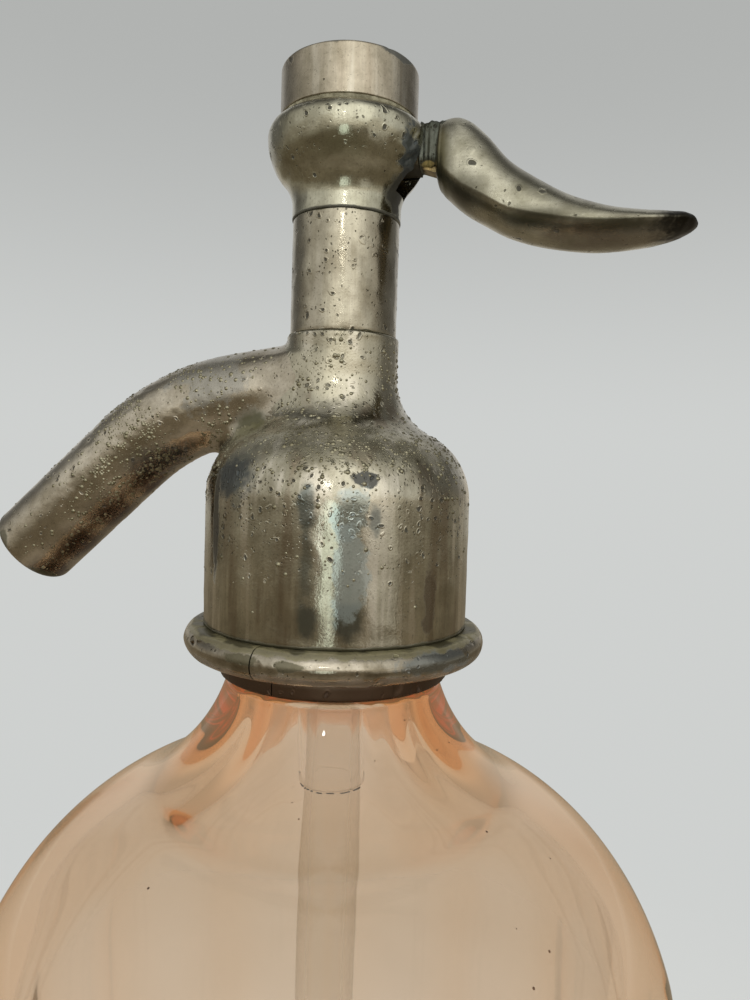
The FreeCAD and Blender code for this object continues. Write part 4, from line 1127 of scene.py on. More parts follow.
@dataclass
class Spout:
    """The bent tube: a lead out of the head, a bend and a straight end."""

    radius: float = 7.5
    bore: float = 4.6
    height: float = 268.2
    lead: float = 8.5
    fall: float = 42.1
    lead_length: float = 17.0
    bend: float = 40.0
    end_length: float = 26.3
    seam: float = 12.0
    seam_depth: float = 0.12
    seam_width: float = 0.35
    tip_edge: float = 1.0
    mouth_edge: float = 0.5
    axis_end: float = 4.5

    def corners(self) -> tuple[Array, Array, Array, Array]:
        """The corners of the centre line as (x, z).

        Returns:
            Start of the bend, its centre, its end and the tip.
        """
        lead, fall = math.radians(self.lead), math.radians(self.fall)
        start = np.array([-self.lead_length * math.cos(lead),
                          self.height - self.lead_length * math.sin(lead)])
        centre = start + self.bend * np.array([math.sin(lead), -math.cos(lead)])
        end = centre + self.bend * np.array([-math.sin(fall), math.cos(fall)])
        tip = end - self.end_length * np.array([math.cos(fall), math.sin(fall)])
        return start, centre, end, tip

    def line(self, distances: Array) -> tuple[Array, Array]:
        """Points of the centre line and its falling angle at distances from the axis.

        The line runs straight at the lead's slope, then round the bend's centre, then
        straight at the end's slope.

        Args:
            distances: lengths along the line from the siphon's axis.

        Returns:
            Points (x, z) and the slope below the horizontal in radians.
        """
        centre = self.corners()[1]
        lead, fall = math.radians(self.lead), math.radians(self.fall)
        arc = self.bend * (fall - lead)
        round_bend = np.clip(distances - self.lead_length, 0.0, arc)
        slope = lead + round_bend / self.bend
        points = centre + self.bend * np.column_stack([-np.sin(slope), np.cos(slope)])
        before = np.minimum(distances - self.lead_length, 0.0)
        after = np.maximum(distances - self.lead_length - arc, 0.0)
        points += (before + after)[:, None] * np.column_stack([-np.cos(slope), -np.sin(slope)])
        return points, slope

    def length(self) -> float:
        """Length of the centre line from the axis to the tip."""
        return (self.lead_length + self.end_length
                + self.bend * math.radians(self.fall - self.lead))

    def tube(self, distances: Array, radii: Array, columns: int) -> Array:
        """A grid round the centre line.

        Each ring is square to the line: at angle a its point is the line's point plus
        radius * (cos a * side + sin a * up), side being -Y so that faces point outwards.

        Args:
            distances: one for each row.
            radii: one for each row.
            columns: points round the tube.

        Returns:
            The grid.
        """
        points, slope = self.line(distances)
        angles = 2 * np.pi * np.arange(columns) / columns
        up = np.column_stack([-np.sin(slope), np.zeros_like(slope), np.cos(slope)])
        centre = np.column_stack([points[:, 0], np.zeros_like(slope), points[:, 1]])
        side = np.array([0.0, -1.0, 0.0])
        return (centre[:, None] + radii[:, None, None]
                * (np.cos(angles)[None, :, None] * side + np.sin(angles)[None, :, None]
                   * up[:, None]))

    def distance(self, points: Array) -> Array:
        """How far points lie outside the tube's skin.

        It is the least distance to the lead, the bend and the end, less the radius. The
        bend counts only between its first and last angle.

        Args:
            points: any array whose last axis is x, y, z.

        Returns:
            One distance for each point, negative inside.
        """
        start, centre, end, tip = self.corners()
        x, y, z = points[..., 0], points[..., 1], points[..., 2]
        flat = np.stack([x, z], axis=-1)
        from_centre = flat - centre
        slope = np.arctan2(-from_centre[..., 0], from_centre[..., 1])
        inside = (slope > math.radians(self.lead)) & (slope < math.radians(self.fall))
        bend = np.sqrt((np.hypot(from_centre[..., 0], from_centre[..., 1]) - self.bend) ** 2
                       + y ** 2)
        bend = np.where(inside, bend, 1e3)
        axis = np.array([-self.axis_end,
                         self.height - self.axis_end * math.tan(math.radians(self.lead))])
        runs = np.minimum(from_run(flat, y, axis, start), from_run(flat, y, end, tip))
        return np.minimum(runs, bend) - self.radius


@dataclass
class Head:
    """The casting: bell, lower neck and stub, with the spout soldered on."""

    spout: Spout = field(default_factory=Spout)
    bell: float = 21.5
    bell_arc: float = 11.5
    bell_bottom: float = 229.0
    bell_turn: float = 249.5
    neck: float = 9.1
    neck_blend: float = 10.0
    edge: float = 0.35
    joint: float = 275.4
    thread: float = 7.1
    thread_length: float = 5.8
    gland: float = 5.9
    gland_floor: float = 272.8
    shaft: float = 5.2
    shaft_low: float = 252.7
    chamber: float = 5.95
    chamber_low: float = 246.2
    seat: float = 7.4
    bore: float = 19.45
    ceiling: float = 243.2
    soft: float = 4.5
    columns: int = 336
    pipe_start: float = 5.0
    valve_room: float = 6.3
    spacing: float = 0.42

    def outer(self) -> Array:
        """Outside profile from the bell's lower edge to the joint, with tangent arcs.

        Returns:
            Rows of radius and height.
        """
        centre = self.bell - self.bell_arc
        reach = self.neck + self.neck_blend - centre
        rise = math.sqrt((self.bell_arc + self.neck_blend) ** 2 - reach ** 2)
        share = self.bell_arc / (self.bell_arc + self.neck_blend)
        path = Outline(self.bell - self.edge, self.bell_bottom, self.spacing)
        path.arc(self.bell, self.bell_bottom + self.edge, self.edge, 1, 0.12)
        path.line(self.bell, self.bell_turn)
        path.arc(centre + reach * share, self.bell_turn + rise * share, self.bell_arc, 1)
        path.arc(self.neck, self.bell_turn + rise, self.neck_blend, -1)
        path.line(self.neck, self.joint - self.edge)
        return path.arc(self.neck - self.edge, self.joint, self.edge, 1, 0.12).points()

    def hollow(self) -> Array:
        """Inside profile: over the threaded end, down the shaft and chamber, out to the bell.

        Returns:
            Rows of radius and height.
        """
        end = self.joint + self.thread_length
        path = Outline(self.neck - self.edge, self.joint, 0.8)
        path.line(self.thread, self.joint).line(self.thread, end, 2.0).line(self.gland, end)
        path.line(self.gland, self.gland_floor, 2.0).line(self.shaft, self.gland_floor)
        path.line(self.shaft, self.shaft_low, 3.0).line(self.chamber, self.shaft_low)
        path.line(self.chamber, self.chamber_low, 3.0).line(self.seat, self.chamber_low)
        path.line(self.seat, self.ceiling, 1.0)
        path.line(self.bore, self.ceiling, 3.0).line(self.bore, self.bell_bottom, 3.0)
        return path.line(self.bell - self.edge, self.bell_bottom).points()

    def outside(self, points: Array) -> Array:
        """How far points lie outside the turned casting: radial distance times the slope's cosine.

        Args:
            points: any array whose last axis is x, y, z.

        Returns:
            One distance for each point, negative inside.
        """
        profile = self.outer()
        radius = np.hypot(points[..., 0], points[..., 1])
        wall = np.interp(points[..., 2], profile[:, 1], profile[:, 0])
        slope = np.gradient(profile[:, 0], profile[:, 1] + 1e-6 * np.arange(len(profile)))
        lean = np.interp(points[..., 2], profile[:, 1], np.clip(slope, -3.0, 3.0))
        return (radius - wall) / np.sqrt(1.0 + lean ** 2)

    def union(self, points: Array) -> tuple[Array, Array, Array]:
        """The casting and the tube melted together.

        The result is the smaller of both distances less h^2 * soft / 4, where h is how
        much nearer than soft the two are to each other, over soft. Soft fades out towards
        the joint above.

        Args:
            points: any array whose last axis is x, y, z.

        Returns:
            Distances to the melted form, to the casting and to the tube.
        """
        casting, tube = self.outside(points), self.spout.distance(points)
        soft = self.soft * np.clip((self.joint - 0.4 - points[..., 2]) / 3.0, 0.05, 1.0)
        near = np.clip(soft - np.abs(casting - tube), 0.0, None) / soft
        return np.minimum(casting, tube) - near ** 2 * soft / 4, casting, tube

    def melt(self, grid: Array, own_is_tube: bool, limit: float = 3.0) -> Array:
        """Push a grid outwards until it lies on the melted surface.

        Args:
            grid: the casting's or the tube's own surface.
            own_is_tube: which of the two it is.
            limit: farthest push; points stopped there lie inside the other one.

        Returns:
            The pushed grid; past the middle of the fillet it dips just under the other.
        """
        normals = grid_normals(grid, True)
        push = np.zeros(grid.shape[:2])
        for _ in range(14):
            level = self.union(grid + normals * push[..., None])[0]
            push = np.clip(push - 0.8 * level, 0.0, limit)
        moved = grid + normals * push[..., None]
        _, casting, tube = self.union(moved)
        over = (casting - tube) if own_is_tube else (tube - casting)
        dip = 0.10 * np.clip(-over / 0.6, 0.0, 1.0)
        return moved - normals * dip[..., None]

    def casting(self) -> tuple[Array, Array]:
        """The turned outside, melted and slightly uneven.

        Returns:
            The grid and its normals.
        """
        grid = self.melt(turned(self.outer(), self.columns), False)
        normals = grid_normals(grid, True)
        uneven = 0.035 * ripple(grid, 3.2, 3) + 0.05 * ripple(grid, 11.0, 4)
        edge = np.clip((grid[..., 2] - self.bell_bottom) / 1.5, 0.0, 1.0)
        edge *= np.clip((self.joint - grid[..., 2]) / 1.0, 0.0, 1.0)
        return grid - normals * (np.abs(uneven) * edge)[..., None], normals

    def pipe(self) -> tuple[Array, Array]:
        """The tube's outside from within the head's wall to its rounded end.

        Inside the head it keeps clear of the room in which the valve moves.

        Returns:
            The grid and its normals.
        """
        spout = self.spout
        last = spout.length() - spout.tip_edge
        distances = np.concatenate([np.arange(self.pipe_start, last, self.spacing), [last]])
        radii = np.full(len(distances), spout.radius)
        seam = spout.lead_length + spout.bend * math.radians(spout.seam)
        radii -= spout.seam_depth * np.exp(-((distances - seam) / spout.seam_width) ** 2)
        grid = self.melt(spout.tube(distances, radii, 120), True)
        away = np.hypot(grid[..., 0], grid[..., 1])
        grid[..., :2] *= np.maximum(1.0, self.valve_room / away)[..., None]
        normals = grid_normals(grid, True)
        middle = np.clip(1 - np.abs(distances - 36.0) / 26.0, 0.0, 1.0)[:, None]
        lumps = 0.05 * ripple(grid, 1.6, 8) * middle + 0.05 * ripple(grid, 7.0, 9)
        lumps += 0.04 * ripple(grid, 0.9, 10) * middle
        ends = np.clip((last - distances) / 2.0, 0.0, 1.0)[:, None]
        return grid - normals * (np.abs(lumps) * ends)[..., None], normals

    def tip(self, skin: Array) -> Array:
        """The rounded end, the bore's mouth and the bore's wall.

        Args:
            skin: the tube's outside, whose last ring is the first of the tip.

        Returns:
            The grid.
        """
        spout, length = self.spout, self.spout.length()
        path = Outline(length - spout.tip_edge, spout.radius, 0.25)
        path.arc(length, spout.radius - spout.tip_edge, spout.tip_edge, -1, 0.25)
        path.line(length, spout.bore + spout.mouth_edge)
        path.arc(length - spout.mouth_edge, spout.bore, spout.mouth_edge, -1, 0.15)
        path.line(length - 40.0, spout.bore, 1.5)
        rows = path.points()
        ring = spout.tube(rows[:, 0], rows[:, 1], skin.shape[1])
        ring[0] = skin[-1]
        return ring

    def crust_on_casting(self, points: Array) -> Array:
        """Chance of a blister on the casting: high on the shoulder, some on the neck.

        Args:
            points: rows of x, y, z.

        Returns:
            One number for each point; near the spout it is 0.
        """
        height = points[:, 2]
        shoulder = np.exp(-((height - 257.0) / 5.5) ** 2)
        low = 0.035 * np.exp(-((height - 243.0) / 8.0) ** 2)
        neck = 0.22 * np.exp(-((height - 268.0) / 6.0) ** 2)
        clump = np.clip(1.0 + 0.8 * ripple(points, 9.0, 21), 0.05, None)
        return (shoulder + low + neck) * clump * (self.spout.distance(points) > 1.2)

    def crust_on_pipe(self, points: Array) -> Array:
        """Chance of a blister on the tube: high on the front of its bend.

        Args:
            points: rows of x, y, z.

        Returns:
            One number for each point; near the casting it is 0.
        """
        middle = np.exp(-((points[:, 0] + 30.0) / 12.0) ** 2)
        side = np.clip(1.2 - np.abs(points[:, 1] + 5.0) / 4.0, 0.04, None)
        clump = np.clip(1.0 + 0.9 * ripple(points, 6.0, 22), 0.05, None)
        return (middle + 0.05) * side * clump * (self.outside(points) > 1.0)

    def build(self, looks: Looks) -> None:
        """Make the casting, the spout and the blisters on them.

        Args:
            looks: the finishes by word.
        """
        grid, normals = self.casting()
        body = Piece("head_casting").grid(grid).grid(turned(self.hollow(), self.columns))
        body.build("siphon", "head_metal", looks["head"], ["head_body"], smooth=48.0)
        pipe, pipe_normals = self.pipe()
        tube = Piece("spout_pipe").grid(pipe).grid(self.tip(pipe))
        tube.build("siphon", "head_metal", looks["spout"], ["spout"], smooth=60.0)
        crust = Piece("head_blisters")
        scatter(crust, grid, normals, 1700, self.crust_on_casting, (0.10, 0.38), 5, 0.5)
        scatter(crust, pipe, pipe_normals, 1100, self.crust_on_pipe, (0.10, 0.36), 6, 0.45)
        crust.build("siphon", "head_metal", looks["crust"])


# ---- Collar ----

@dataclass
class Collar:
    """The split collar: skirt, bead and the part inside the bell, in two halves."""

    bottom: float = 220.8
    skirt: float = 18.7
    bead_height: float = 226.7
    bead: float = 24.5
    bead_arc: float = 2.5
    bell_bottom: float = 229.0
    bore: float = 15.7
    thread: float = 19.4
    top: float = 235.5
    gap: float = 0.5
    split: float = -103.5

    def section(self) -> Array:
        """Closed section of one half.

        Returns:
            Rows of radius and height from the inner lower corner round to it.
        """
        middle = self.bead - self.bead_arc
        reach = self.bead_arc * math.sqrt(1 - 0.92 ** 2)
        under, bell = self.bead_height - self.bead_arc, self.bell_bottom - 0.02
        path = Outline(self.bore, self.bottom, 0.5)
        path.line(self.skirt - 0.5, self.bottom).arc(self.skirt, self.bottom + 0.5, 0.5, 1, 0.12)
        path.line(self.skirt, under - 0.6, 0.5)
        path.arc(self.skirt + 0.6, under, 0.6, -1, 0.15)
        path.line(middle, under, 0.5)
        path.arc(self.bead, self.bead_height, self.bead_arc, 1, 0.28)
        path.arc(middle + reach, bell, self.bead_arc, 1, 0.28)
        path.line(self.thread, bell, 0.5)
        path.line(self.thread, self.top, 2.0).line(self.bore, self.top, 2.0)
        return path.line(self.bore, self.bottom + 0.01, 3.0).points()

    def half(self, start: float) -> Array:
        """One half, with dents and small chips along the bead.

        Args:
            start: angle of its first face in degrees.

        Returns:
            The grid.
        """
        grid = turned(self.section(), 300, start + self.gap / 2, 180.0 - self.gap)
        normals = grid_normals(grid, False)
        radius = np.hypot(grid[..., 0], grid[..., 1])
        seen = np.clip((radius - self.skirt + 0.5) / 1.0, 0.0, 1.0)
        chips = np.clip(ripple(grid, 2.2, 31) - 1.15, 0.0, 0.5) * 0.5
        dents = 0.05 * np.abs(ripple(grid, 6.0, 32))
        outwards = np.sign((normals[..., :2] * grid[..., :2]).sum(-1, keepdims=True))
        return grid - normals * ((chips + dents) * seen)[..., None] * outwards

    def build(self, looks: Looks) -> None:
        """Make both halves.

        Args:
            looks: the finishes by word.
        """
        for name, start in (("right", self.split), ("left", self.split + 180.0)):
            grid = self.half(start)
            piece = Piece(f"collar_{name}").grid(grid, around=False, looped=True)
            piece.lid(grid[:, 0]).lid(grid[:, -1])
            piece.build("siphon", "collar_metal", looks["collar"], [f"collar_half_{name}"],
                        smooth=50.0)


# ---- Column: sleeve, lever housing and cap ----

@dataclass
class Column:
    """Sleeve, lever housing with its slot, seal and cap."""

    joint: float = 275.4
    play: float = 0.02
    sleeve: float = 8.65
    sleeve_bore: float = 7.15
    seat: float = 293.8
    foot: float = 8.8
    bulb: float = 13.0
    bulb_arc: float = 9.5
    brow_arc: float = 2.55
    foot_blend: float = 6.0
    widest: float = 12.6
    mouth: float = 308.978
    thread: float = 8.5
    thread_depth: float = 1.6
    well: float = 7.6
    floor: float = 297.4
    rod_hole: float = 2.6
    spring_top: float = 295.4
    spring_room: float = 5.1
    spigot: float = 7.1
    spigot_low: float = 288.0
    slot_low: Point = (6.1, -3.0, 4.0)
    slot_high: Point = (16.0, 3.0, 16.5)
    seal_bore: float = 8.55
    seal: float = 10.98
    cap: float = 11.05
    cap_seat: float = 309.578
    cap_top: float = 317.3
    cap_edge: float = 0.5
    cap_thread: float = 8.45
    cap_hollow: float = 6.85
    deck: float = 3.2
    dish: float = 0.8
    key_hole: float = 1.2
    key_depth: float = 1.9
    key_reach: float = 5.4
    chamfer: float = 0.2

    def bulb_outer(self) -> Array:
        """Outside of the housing from its foot to the cap, with tangent arcs.

        Returns:
            Rows of radius and height.
        """
        lower, upper, blend = self.bulb_arc, self.brow_arc, self.foot_blend
        middle = self.seat + self.widest
        low_centre, high_centre = self.bulb - lower, self.bulb - upper
        reach = self.foot + blend - low_centre
        rise = math.sqrt((lower + blend) ** 2 - reach ** 2)
        share = lower / (lower + blend)
        over = math.sqrt(upper ** 2 - (self.cap - high_centre) ** 2)
        path = Outline(self.foot - self.chamfer, self.seat, 0.3)
        path.arc(self.foot, self.seat + self.chamfer, self.chamfer, 1, 0.1)
        path.line(self.foot, middle - rise)
        path.arc(low_centre + reach * share, middle - rise * share, blend, -1)
        path.arc(self.bulb, middle, lower, 1).arc(self.cap, middle + over, upper, 1)
        return path.line(self.cap, self.mouth).points()

    def bulb_inner(self) -> Array:
        """Inside of the housing: thread, well, floor, spring's room and spigot.

        Returns:
            Rows of radius and height from the mouth's outer edge to the foot's.
        """
        thread_end = self.mouth - self.thread_depth
        path = Outline(self.cap, self.mouth, 0.8)
        path.line(self.thread, self.mouth).line(self.thread, thread_end)
        path.line(self.well, thread_end).line(self.well, self.floor, 2.0)
        path.line(self.rod_hole, self.floor, 2.0).line(self.rod_hole, self.spring_top)
        path.line(self.spring_room, self.spring_top)
        path.line(self.spring_room, self.spigot_low, 3.0).line(self.spigot, self.spigot_low)
        path.line(self.spigot, self.seat, 3.0)
        return path.line(self.foot - self.chamfer, self.seat).points()

    def housing(self) -> Array:
        """The whole wall of the housing, uneven outside and crusted beside the lever.

        Returns:
            The grid, as one loop of the profile.
        """
        outer = self.bulb_outer()
        grid = turned(np.vstack([outer, self.bulb_inner()[1:-1]]), 240)
        skin = grid[:len(outer)]
        away = skin - np.array([0.0, 0.0, self.seat + self.widest])
        away /= np.linalg.norm(away, axis=-1, keepdims=True)
        uneven = np.abs(0.05 * ripple(skin, 5.0, 51) + 0.03 * ripple(skin, 1.8, 52))
        inside = np.clip((skin[..., 2] - self.seat) / 1.0, 0.0, 1.0)
        inside *= np.clip((self.mouth - skin[..., 2]) / 1.0, 0.0, 1.0)
        near, spread = np.array([12.0, -4.8, 301.8]), np.array([2.6, 2.6, 4.2])
        crust = np.exp(-(((skin - near) / spread) ** 2).sum(-1))
        rough = 0.10 + 0.22 * ripple(skin, 1.1, 53) + 0.12 * ripple(skin, 0.5, 54)
        skin += away * (crust * rough - uneven * inside)[..., None]
        return grid

    def sleeve_wall(self) -> Array:
        """The sleeve's wall, a little dented outside.

        Returns:
            The grid, as one loop of the profile.
        """
        low, high, edge = self.joint + self.play, self.seat - self.play, self.chamfer
        wall = Outline(self.sleeve_bore, low, 0.5)
        wall.line(self.sleeve - edge, low).arc(self.sleeve, low + edge, edge, 1, 0.1)
        wall.line(self.sleeve, high - edge).arc(self.sleeve - edge, high, edge, 1, 0.1)
        grid = turned(wall.line(self.sleeve_bore, high).points(), 180)
        dents = np.abs(0.03 * ripple(grid, 4.0, 61) + 0.02 * ripple(grid, 1.5, 62))
        outer = np.hypot(grid[..., 0], grid[..., 1]) > self.sleeve - 0.05
        grid[..., :2] *= (1 - np.where(outer, dents, 0.0) / self.sleeve)[..., None]
        return grid

    def seal_ring(self) -> Array:
        """The dark ring in the joint under the cap.

        Returns:
            The grid, as one loop of the profile.
        """
        low, high, bevel = self.mouth + 0.005, self.cap_seat - 0.005, self.seal - 0.05
        ring = Outline(self.seal_bore, low, 0.6)
        ring.line(bevel, low).line(self.seal, self.mouth + 0.1, 0.2)
        ring.line(self.seal, self.cap_seat - 0.1, 0.2).line(bevel, high, 0.2)
        grid = turned(ring.line(self.seal_bore, high).points(), 240)
        outer = np.hypot(grid[..., 0], grid[..., 1]) > self.seal - 0.08
        wear = 0.006 * np.abs(ripple(grid, 0.8, 73))
        grid[..., :2] *= (1 - np.where(outer, wear, 0.0))[..., None]
        return grid

    def cap_skin(self) -> Array:
        """The cap's skin: its hollow, its thread, its side and the dish on top.

        Returns:
            The grid; the rim has nicks and the side is slightly uneven.
        """
        ceiling, thread_low = self.cap_top - self.deck, self.cap_seat - 2.0
        dish = self.cap_top - self.dish
        top = Outline(0.0, ceiling, 0.6)
        top.line(self.cap_hollow, ceiling, 2.0).line(self.cap_hollow, thread_low, 2.0)
        top.line(self.cap_thread, thread_low).line(self.cap_thread, self.cap_seat, 1.0)
        top.line(self.cap - self.chamfer, self.cap_seat)
        top.arc(self.cap, self.cap_seat + self.chamfer, self.chamfer, 1, 0.1)
        top.line(self.cap, self.cap_top - self.cap_edge, 0.4)
        top.arc(self.cap - self.cap_edge, self.cap_top, self.cap_edge, 1, 0.12)
        top.line(8.6, self.cap_top).arc(8.2, self.cap_top - 0.2, 0.35, 1, 0.1)
        grid = turned(top.line(7.6, dish).line(0.0, dish, 1.2).points(), 180)
        edge = np.clip((grid[..., 2] - self.cap_seat) / 1.0, 0.0, 1.0)
        nicks = np.clip(ripple(grid, 1.6, 71) - 1.4, 0.0, 0.6) * 0.25
        rim = np.exp(-((grid[..., 2] - self.cap_top) / 0.9) ** 2)
        grid[..., :2] *= (1 - (nicks * rim + 0.02 * np.abs(ripple(grid, 5.0, 72)))
                          * edge / self.cap)[..., None]
        return grid

    def drill(self, side: int) -> bpy.types.Object:
        """The solid that cuts one of the cap's two holes for a pin key.

        Args:
            side: -1 or 1, the sign of its x.

        Returns:
            The cutter.
        """
        low, high = self.cap_top - self.key_depth, self.cap_top + 1.0
        path = Outline(0.0, low, 0.4)
        path.line(self.key_hole, low).line(self.key_hole, high, 1.0).line(0.0, high)
        grid = turned(path.points(), 32)
        grid[..., 0] += side * self.key_reach
        return stand("cutter", Piece("cutter").grid(grid).mesh())

    def build(self, looks: Looks) -> None:
        """Make the sleeve, the housing, the seal and the cap.

        Args:
            looks: the finishes by word.
        """
        Piece("sleeve_shell").grid(self.sleeve_wall(), looped=True).build(
            "siphon", "sleeve_metal", looks["sleeve"], ["column_sleeve"], smooth=50.0)
        bulb = Piece("housing_shell").grid(self.housing(), looped=True).build(
            "siphon", "head_metal", looks["housing"], ["lever_housing"], smooth=50.0)
        corners = ((x, y, self.seat + z) for x, y, z in (self.slot_low, self.slot_high))
        carve(bulb, block(*corners))
        Piece("cap_seal").grid(self.seal_ring(), looped=True).build(
            "siphon", "fibre", looks["fibre"], ["cap_washer"], smooth=50.0)
        cap = Piece("cap_shell").grid(self.cap_skin()).build(
            "siphon", "cap_metal", looks["cap"], ["top_cap"], smooth=50.0)
        for side in (-1, 1):
            carve(cap, self.drill(side))


# ---- Lever ----

def smooth_curve(at: Array, knots: Array, values: Array) -> Array:
    """A smooth curve through given values: cubic pieces with slopes from the neighbours.

    Args:
        at: where it is read.
        knots: places of the values, rising.
        values: one for each knot.

    Returns:
        The curve's value at each place.
    """
    slopes = np.gradient(values, knots)
    index = np.clip(np.searchsorted(knots, at) - 1, 0, len(knots) - 2)
    width = knots[index + 1] - knots[index]
    share = (at - knots[index]) / width
    start, end = values[index], values[index + 1]
    rise, fall = slopes[index] * width, slopes[index + 1] * width
    return (start * (2 * share ** 3 - 3 * share ** 2 + 1)
            + rise * (share ** 3 - 2 * share ** 2 + share)
            + end * (3 * share ** 2 - 2 * share ** 3) + fall * (share ** 3 - share ** 2))


@dataclass
class Lever:
    """The cast handle and the corroded root that enters the housing.

    A row of the table holds the distance from the axis, the height of the section's middle
    over the pin, its half height and its half width.
    """

    pin_z: float = 304.4
    table: tuple[tuple[float, float, float, float], ...] = (
        (14.62, -0.3, 3.6, 2.8), (14.9, -0.35, 4.7, 3.7), (15.6, -0.7, 5.5, 4.4),
        (16.8, -1.15, 6.25, 5.05), (19.2, -2.35, 7.0, 5.6), (22.3, -4.55, 6.65, 5.9),
        (25.6, -7.3, 5.65, 6.1), (29.5, -9.4, 4.9, 6.35), (34.5, -11.4, 3.95, 6.7),
        (40.2, -12.7, 3.1, 6.8), (45.5, -13.0, 2.45, 6.5), (49.5, -12.85, 1.95, 5.5),
        (51.8, -12.6, 1.5, 4.1), (53.1, -12.55, 0.85, 2.3), (53.55, -12.6, 0.4, 1.0))
    ridge_at: tuple[float, ...] = (14.6, 19.0, 26.0, 34.0, 42.0, 54.0)
    ridge_share: tuple[float, ...] = (-0.40, -0.62, -0.54, -0.30, -0.08, 0.05)
    keen_at: Point = (16.0, 24.0, 53.0)
    keen_over: Point = (0.0, 0.05, 0.30)
    keen_under: Point = (0.1, 0.15, 0.40)
    tip_start: float = 50.0
    columns: int = 144
    root_run: tuple[float, float] = (12.02, 16.0)
    root_half: tuple[float, float] = (2.45, 3.55)
    root_lift: float = 0.9
    root_power: float = 0.45
    root_grid: tuple[int, int] = (60, 72)

    def handle(self) -> Array:
        """The handle's skin.

        At each distance from the axis the section has half width W. Its ridge lies below
        the middle near the root and a little above it near the tip: with s = sin a, the
        height over the ridge is U s (1 - k + k |s|), where U is the way from the ridge to
        the top or to the bottom and k the keenness of that side.

        Returns:
            The grid.
        """
        rows = np.array(self.table)
        knots, tip = rows[:, 0], self.tip_start
        at = np.concatenate([knots[0] + (knots[3] - knots[0]) * np.linspace(0, 1, 24) ** 1.6,
                             np.linspace(knots[3], tip, 130)[1:],
                             tip + (knots[-1] - tip) * np.linspace(0, 1, 26)[1:] ** 0.8])
        middle, tall, wide = (smooth_curve(at, knots, rows[:, i])[:, None] for i in (1, 2, 3))
        angles = 2 * np.pi * np.arange(self.columns) / self.columns
        rise = np.sin(angles)
        ridge = tall * np.interp(at, self.ridge_at, self.ridge_share)[:, None]
        upper = np.interp(at, self.keen_at, self.keen_over)[:, None]
        lower = np.interp(at, self.keen_at, self.keen_under)[:, None]
        keen = np.where(rise > 0, upper, lower)
        reach = np.where(rise > 0, tall - ridge, tall + ridge)
        y = wide * np.cos(angles)
        z = self.pin_z + middle + ridge + reach * rise * (1.0 - keen + keen * np.abs(rise))
        grid = np.stack([np.broadcast_to(at[:, None], y.shape), y, z], axis=-1)
        away = np.stack([np.zeros_like(y), np.broadcast_to(np.cos(angles), y.shape),
                         np.broadcast_to(np.sin(angles), y.shape)], axis=-1)
        worn = np.clip((at - 44.0) / 9.0, 0.0, 1.0)[:, None]
        uneven = np.abs(0.05 * ripple(grid, 6.0, 81)) + worn * np.abs(
            0.06 * ripple(grid, 1.6, 82))
        return grid - away * uneven[..., None]

    def root(self) -> Array:
        """The root block: a rounded bar along X with ridges round it.

        The section is a superellipse: each half size times the cosine or sine of the
        angle, raised to root_power with its sign kept.

        Returns:
            The grid.
        """
        rows, columns = self.root_grid
        at = np.linspace(*self.root_run, rows)
        angles = 2 * np.pi * np.arange(columns) / columns
        wide, tall = self.root_half
        power = self.root_power
        y = wide * np.sign(np.cos(angles)) * np.abs(np.cos(angles)) ** power
        z = tall * np.sign(np.sin(angles)) * np.abs(np.sin(angles)) ** power
        ridge = 1.0 + (0.018 * np.sin(at * 3.3) + 0.012 * np.sin(at * 7.9))[:, None]
        grid = np.stack([np.broadcast_to(at[:, None], self.root_grid), y * ridge,
                         self.pin_z + self.root_lift + z * ridge], axis=-1)
        grid[..., 1:] += 0.08 * np.stack([ripple(grid, 1.1, 83), ripple(grid, 1.1, 84)], -1)
        return grid

    def build(self, looks: Looks) -> None:
        """Make the handle and its root.

        Args:
            looks: the finishes by word.
        """
        handle = self.handle()
        piece = Piece("lever_grip").grid(handle).lid(handle[0]).lid(handle[-1])
        piece.build("lever", "lever_metal", looks["lever"], ["lever_handle"], smooth=60.0)
        root = self.root()
        Piece("lever_root").grid(root).lid(root[0]).lid(root[-1]).build(
            "lever", "lever_metal", looks["root"], smooth=60.0)


# ---- Spring ----

@dataclass
class Spring:
    """The coil round the rod; in the siphon its lower end rides on the valve and its upper
    end stays, but here the whole coil rides on the valve.
    """

    low: float = 284.95
    high: float = 295.35
    radius: float = 3.7
    wire: float = 0.4
    turns: float = 6.0
    closed: float = 0.8
    travel: float = 3.0

    def coil(self) -> Array:
        """The wire as a grid, its end turns closed.

        Along the coil the wire's middle runs round the axis; it rises by a wire's width a
        turn in the closed turns and evenly between them. Each ring stands on the spoke.

        Returns:
            The grid, a ring for each step.
        """
        turn = np.linspace(0.0, self.turns, int(self.turns * 48) + 1)
        width, height = 2 * self.wire, self.high - self.low
        rise = np.interp(turn, [0.0, self.closed, self.turns - self.closed, self.turns],
                         [0.0, self.closed * width, height - (1.0 + self.closed) * width,
                          height - width])
        bearing = 2 * np.pi * turn
        out = np.column_stack([np.cos(bearing), np.sin(bearing), np.zeros_like(turn)])
        centre = self.radius * out
        centre[:, 2] = self.low + self.wire + rise
        angles = 2 * np.pi * np.arange(14) / 14
        up = np.array([0.0, 0.0, 1.0])
        return (centre[:, None] + self.wire * (np.cos(angles)[None, :, None] * out[:, None]
                                               + np.sin(angles)[None, :, None] * up))

    def build(self, looks: Looks) -> None:
        """Make the coil and let it ride on the valve.

        Args:
            looks: the finishes by word.
        """
        grid = self.coil()
        piece = Piece("spring_coil").grid(grid).lid(grid[0]).lid(grid[-1]).build(
            "valve", "spring_wire", looks["wire"], ["spring"], smooth=50.0)
        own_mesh(piece)


# ---- Studio ----

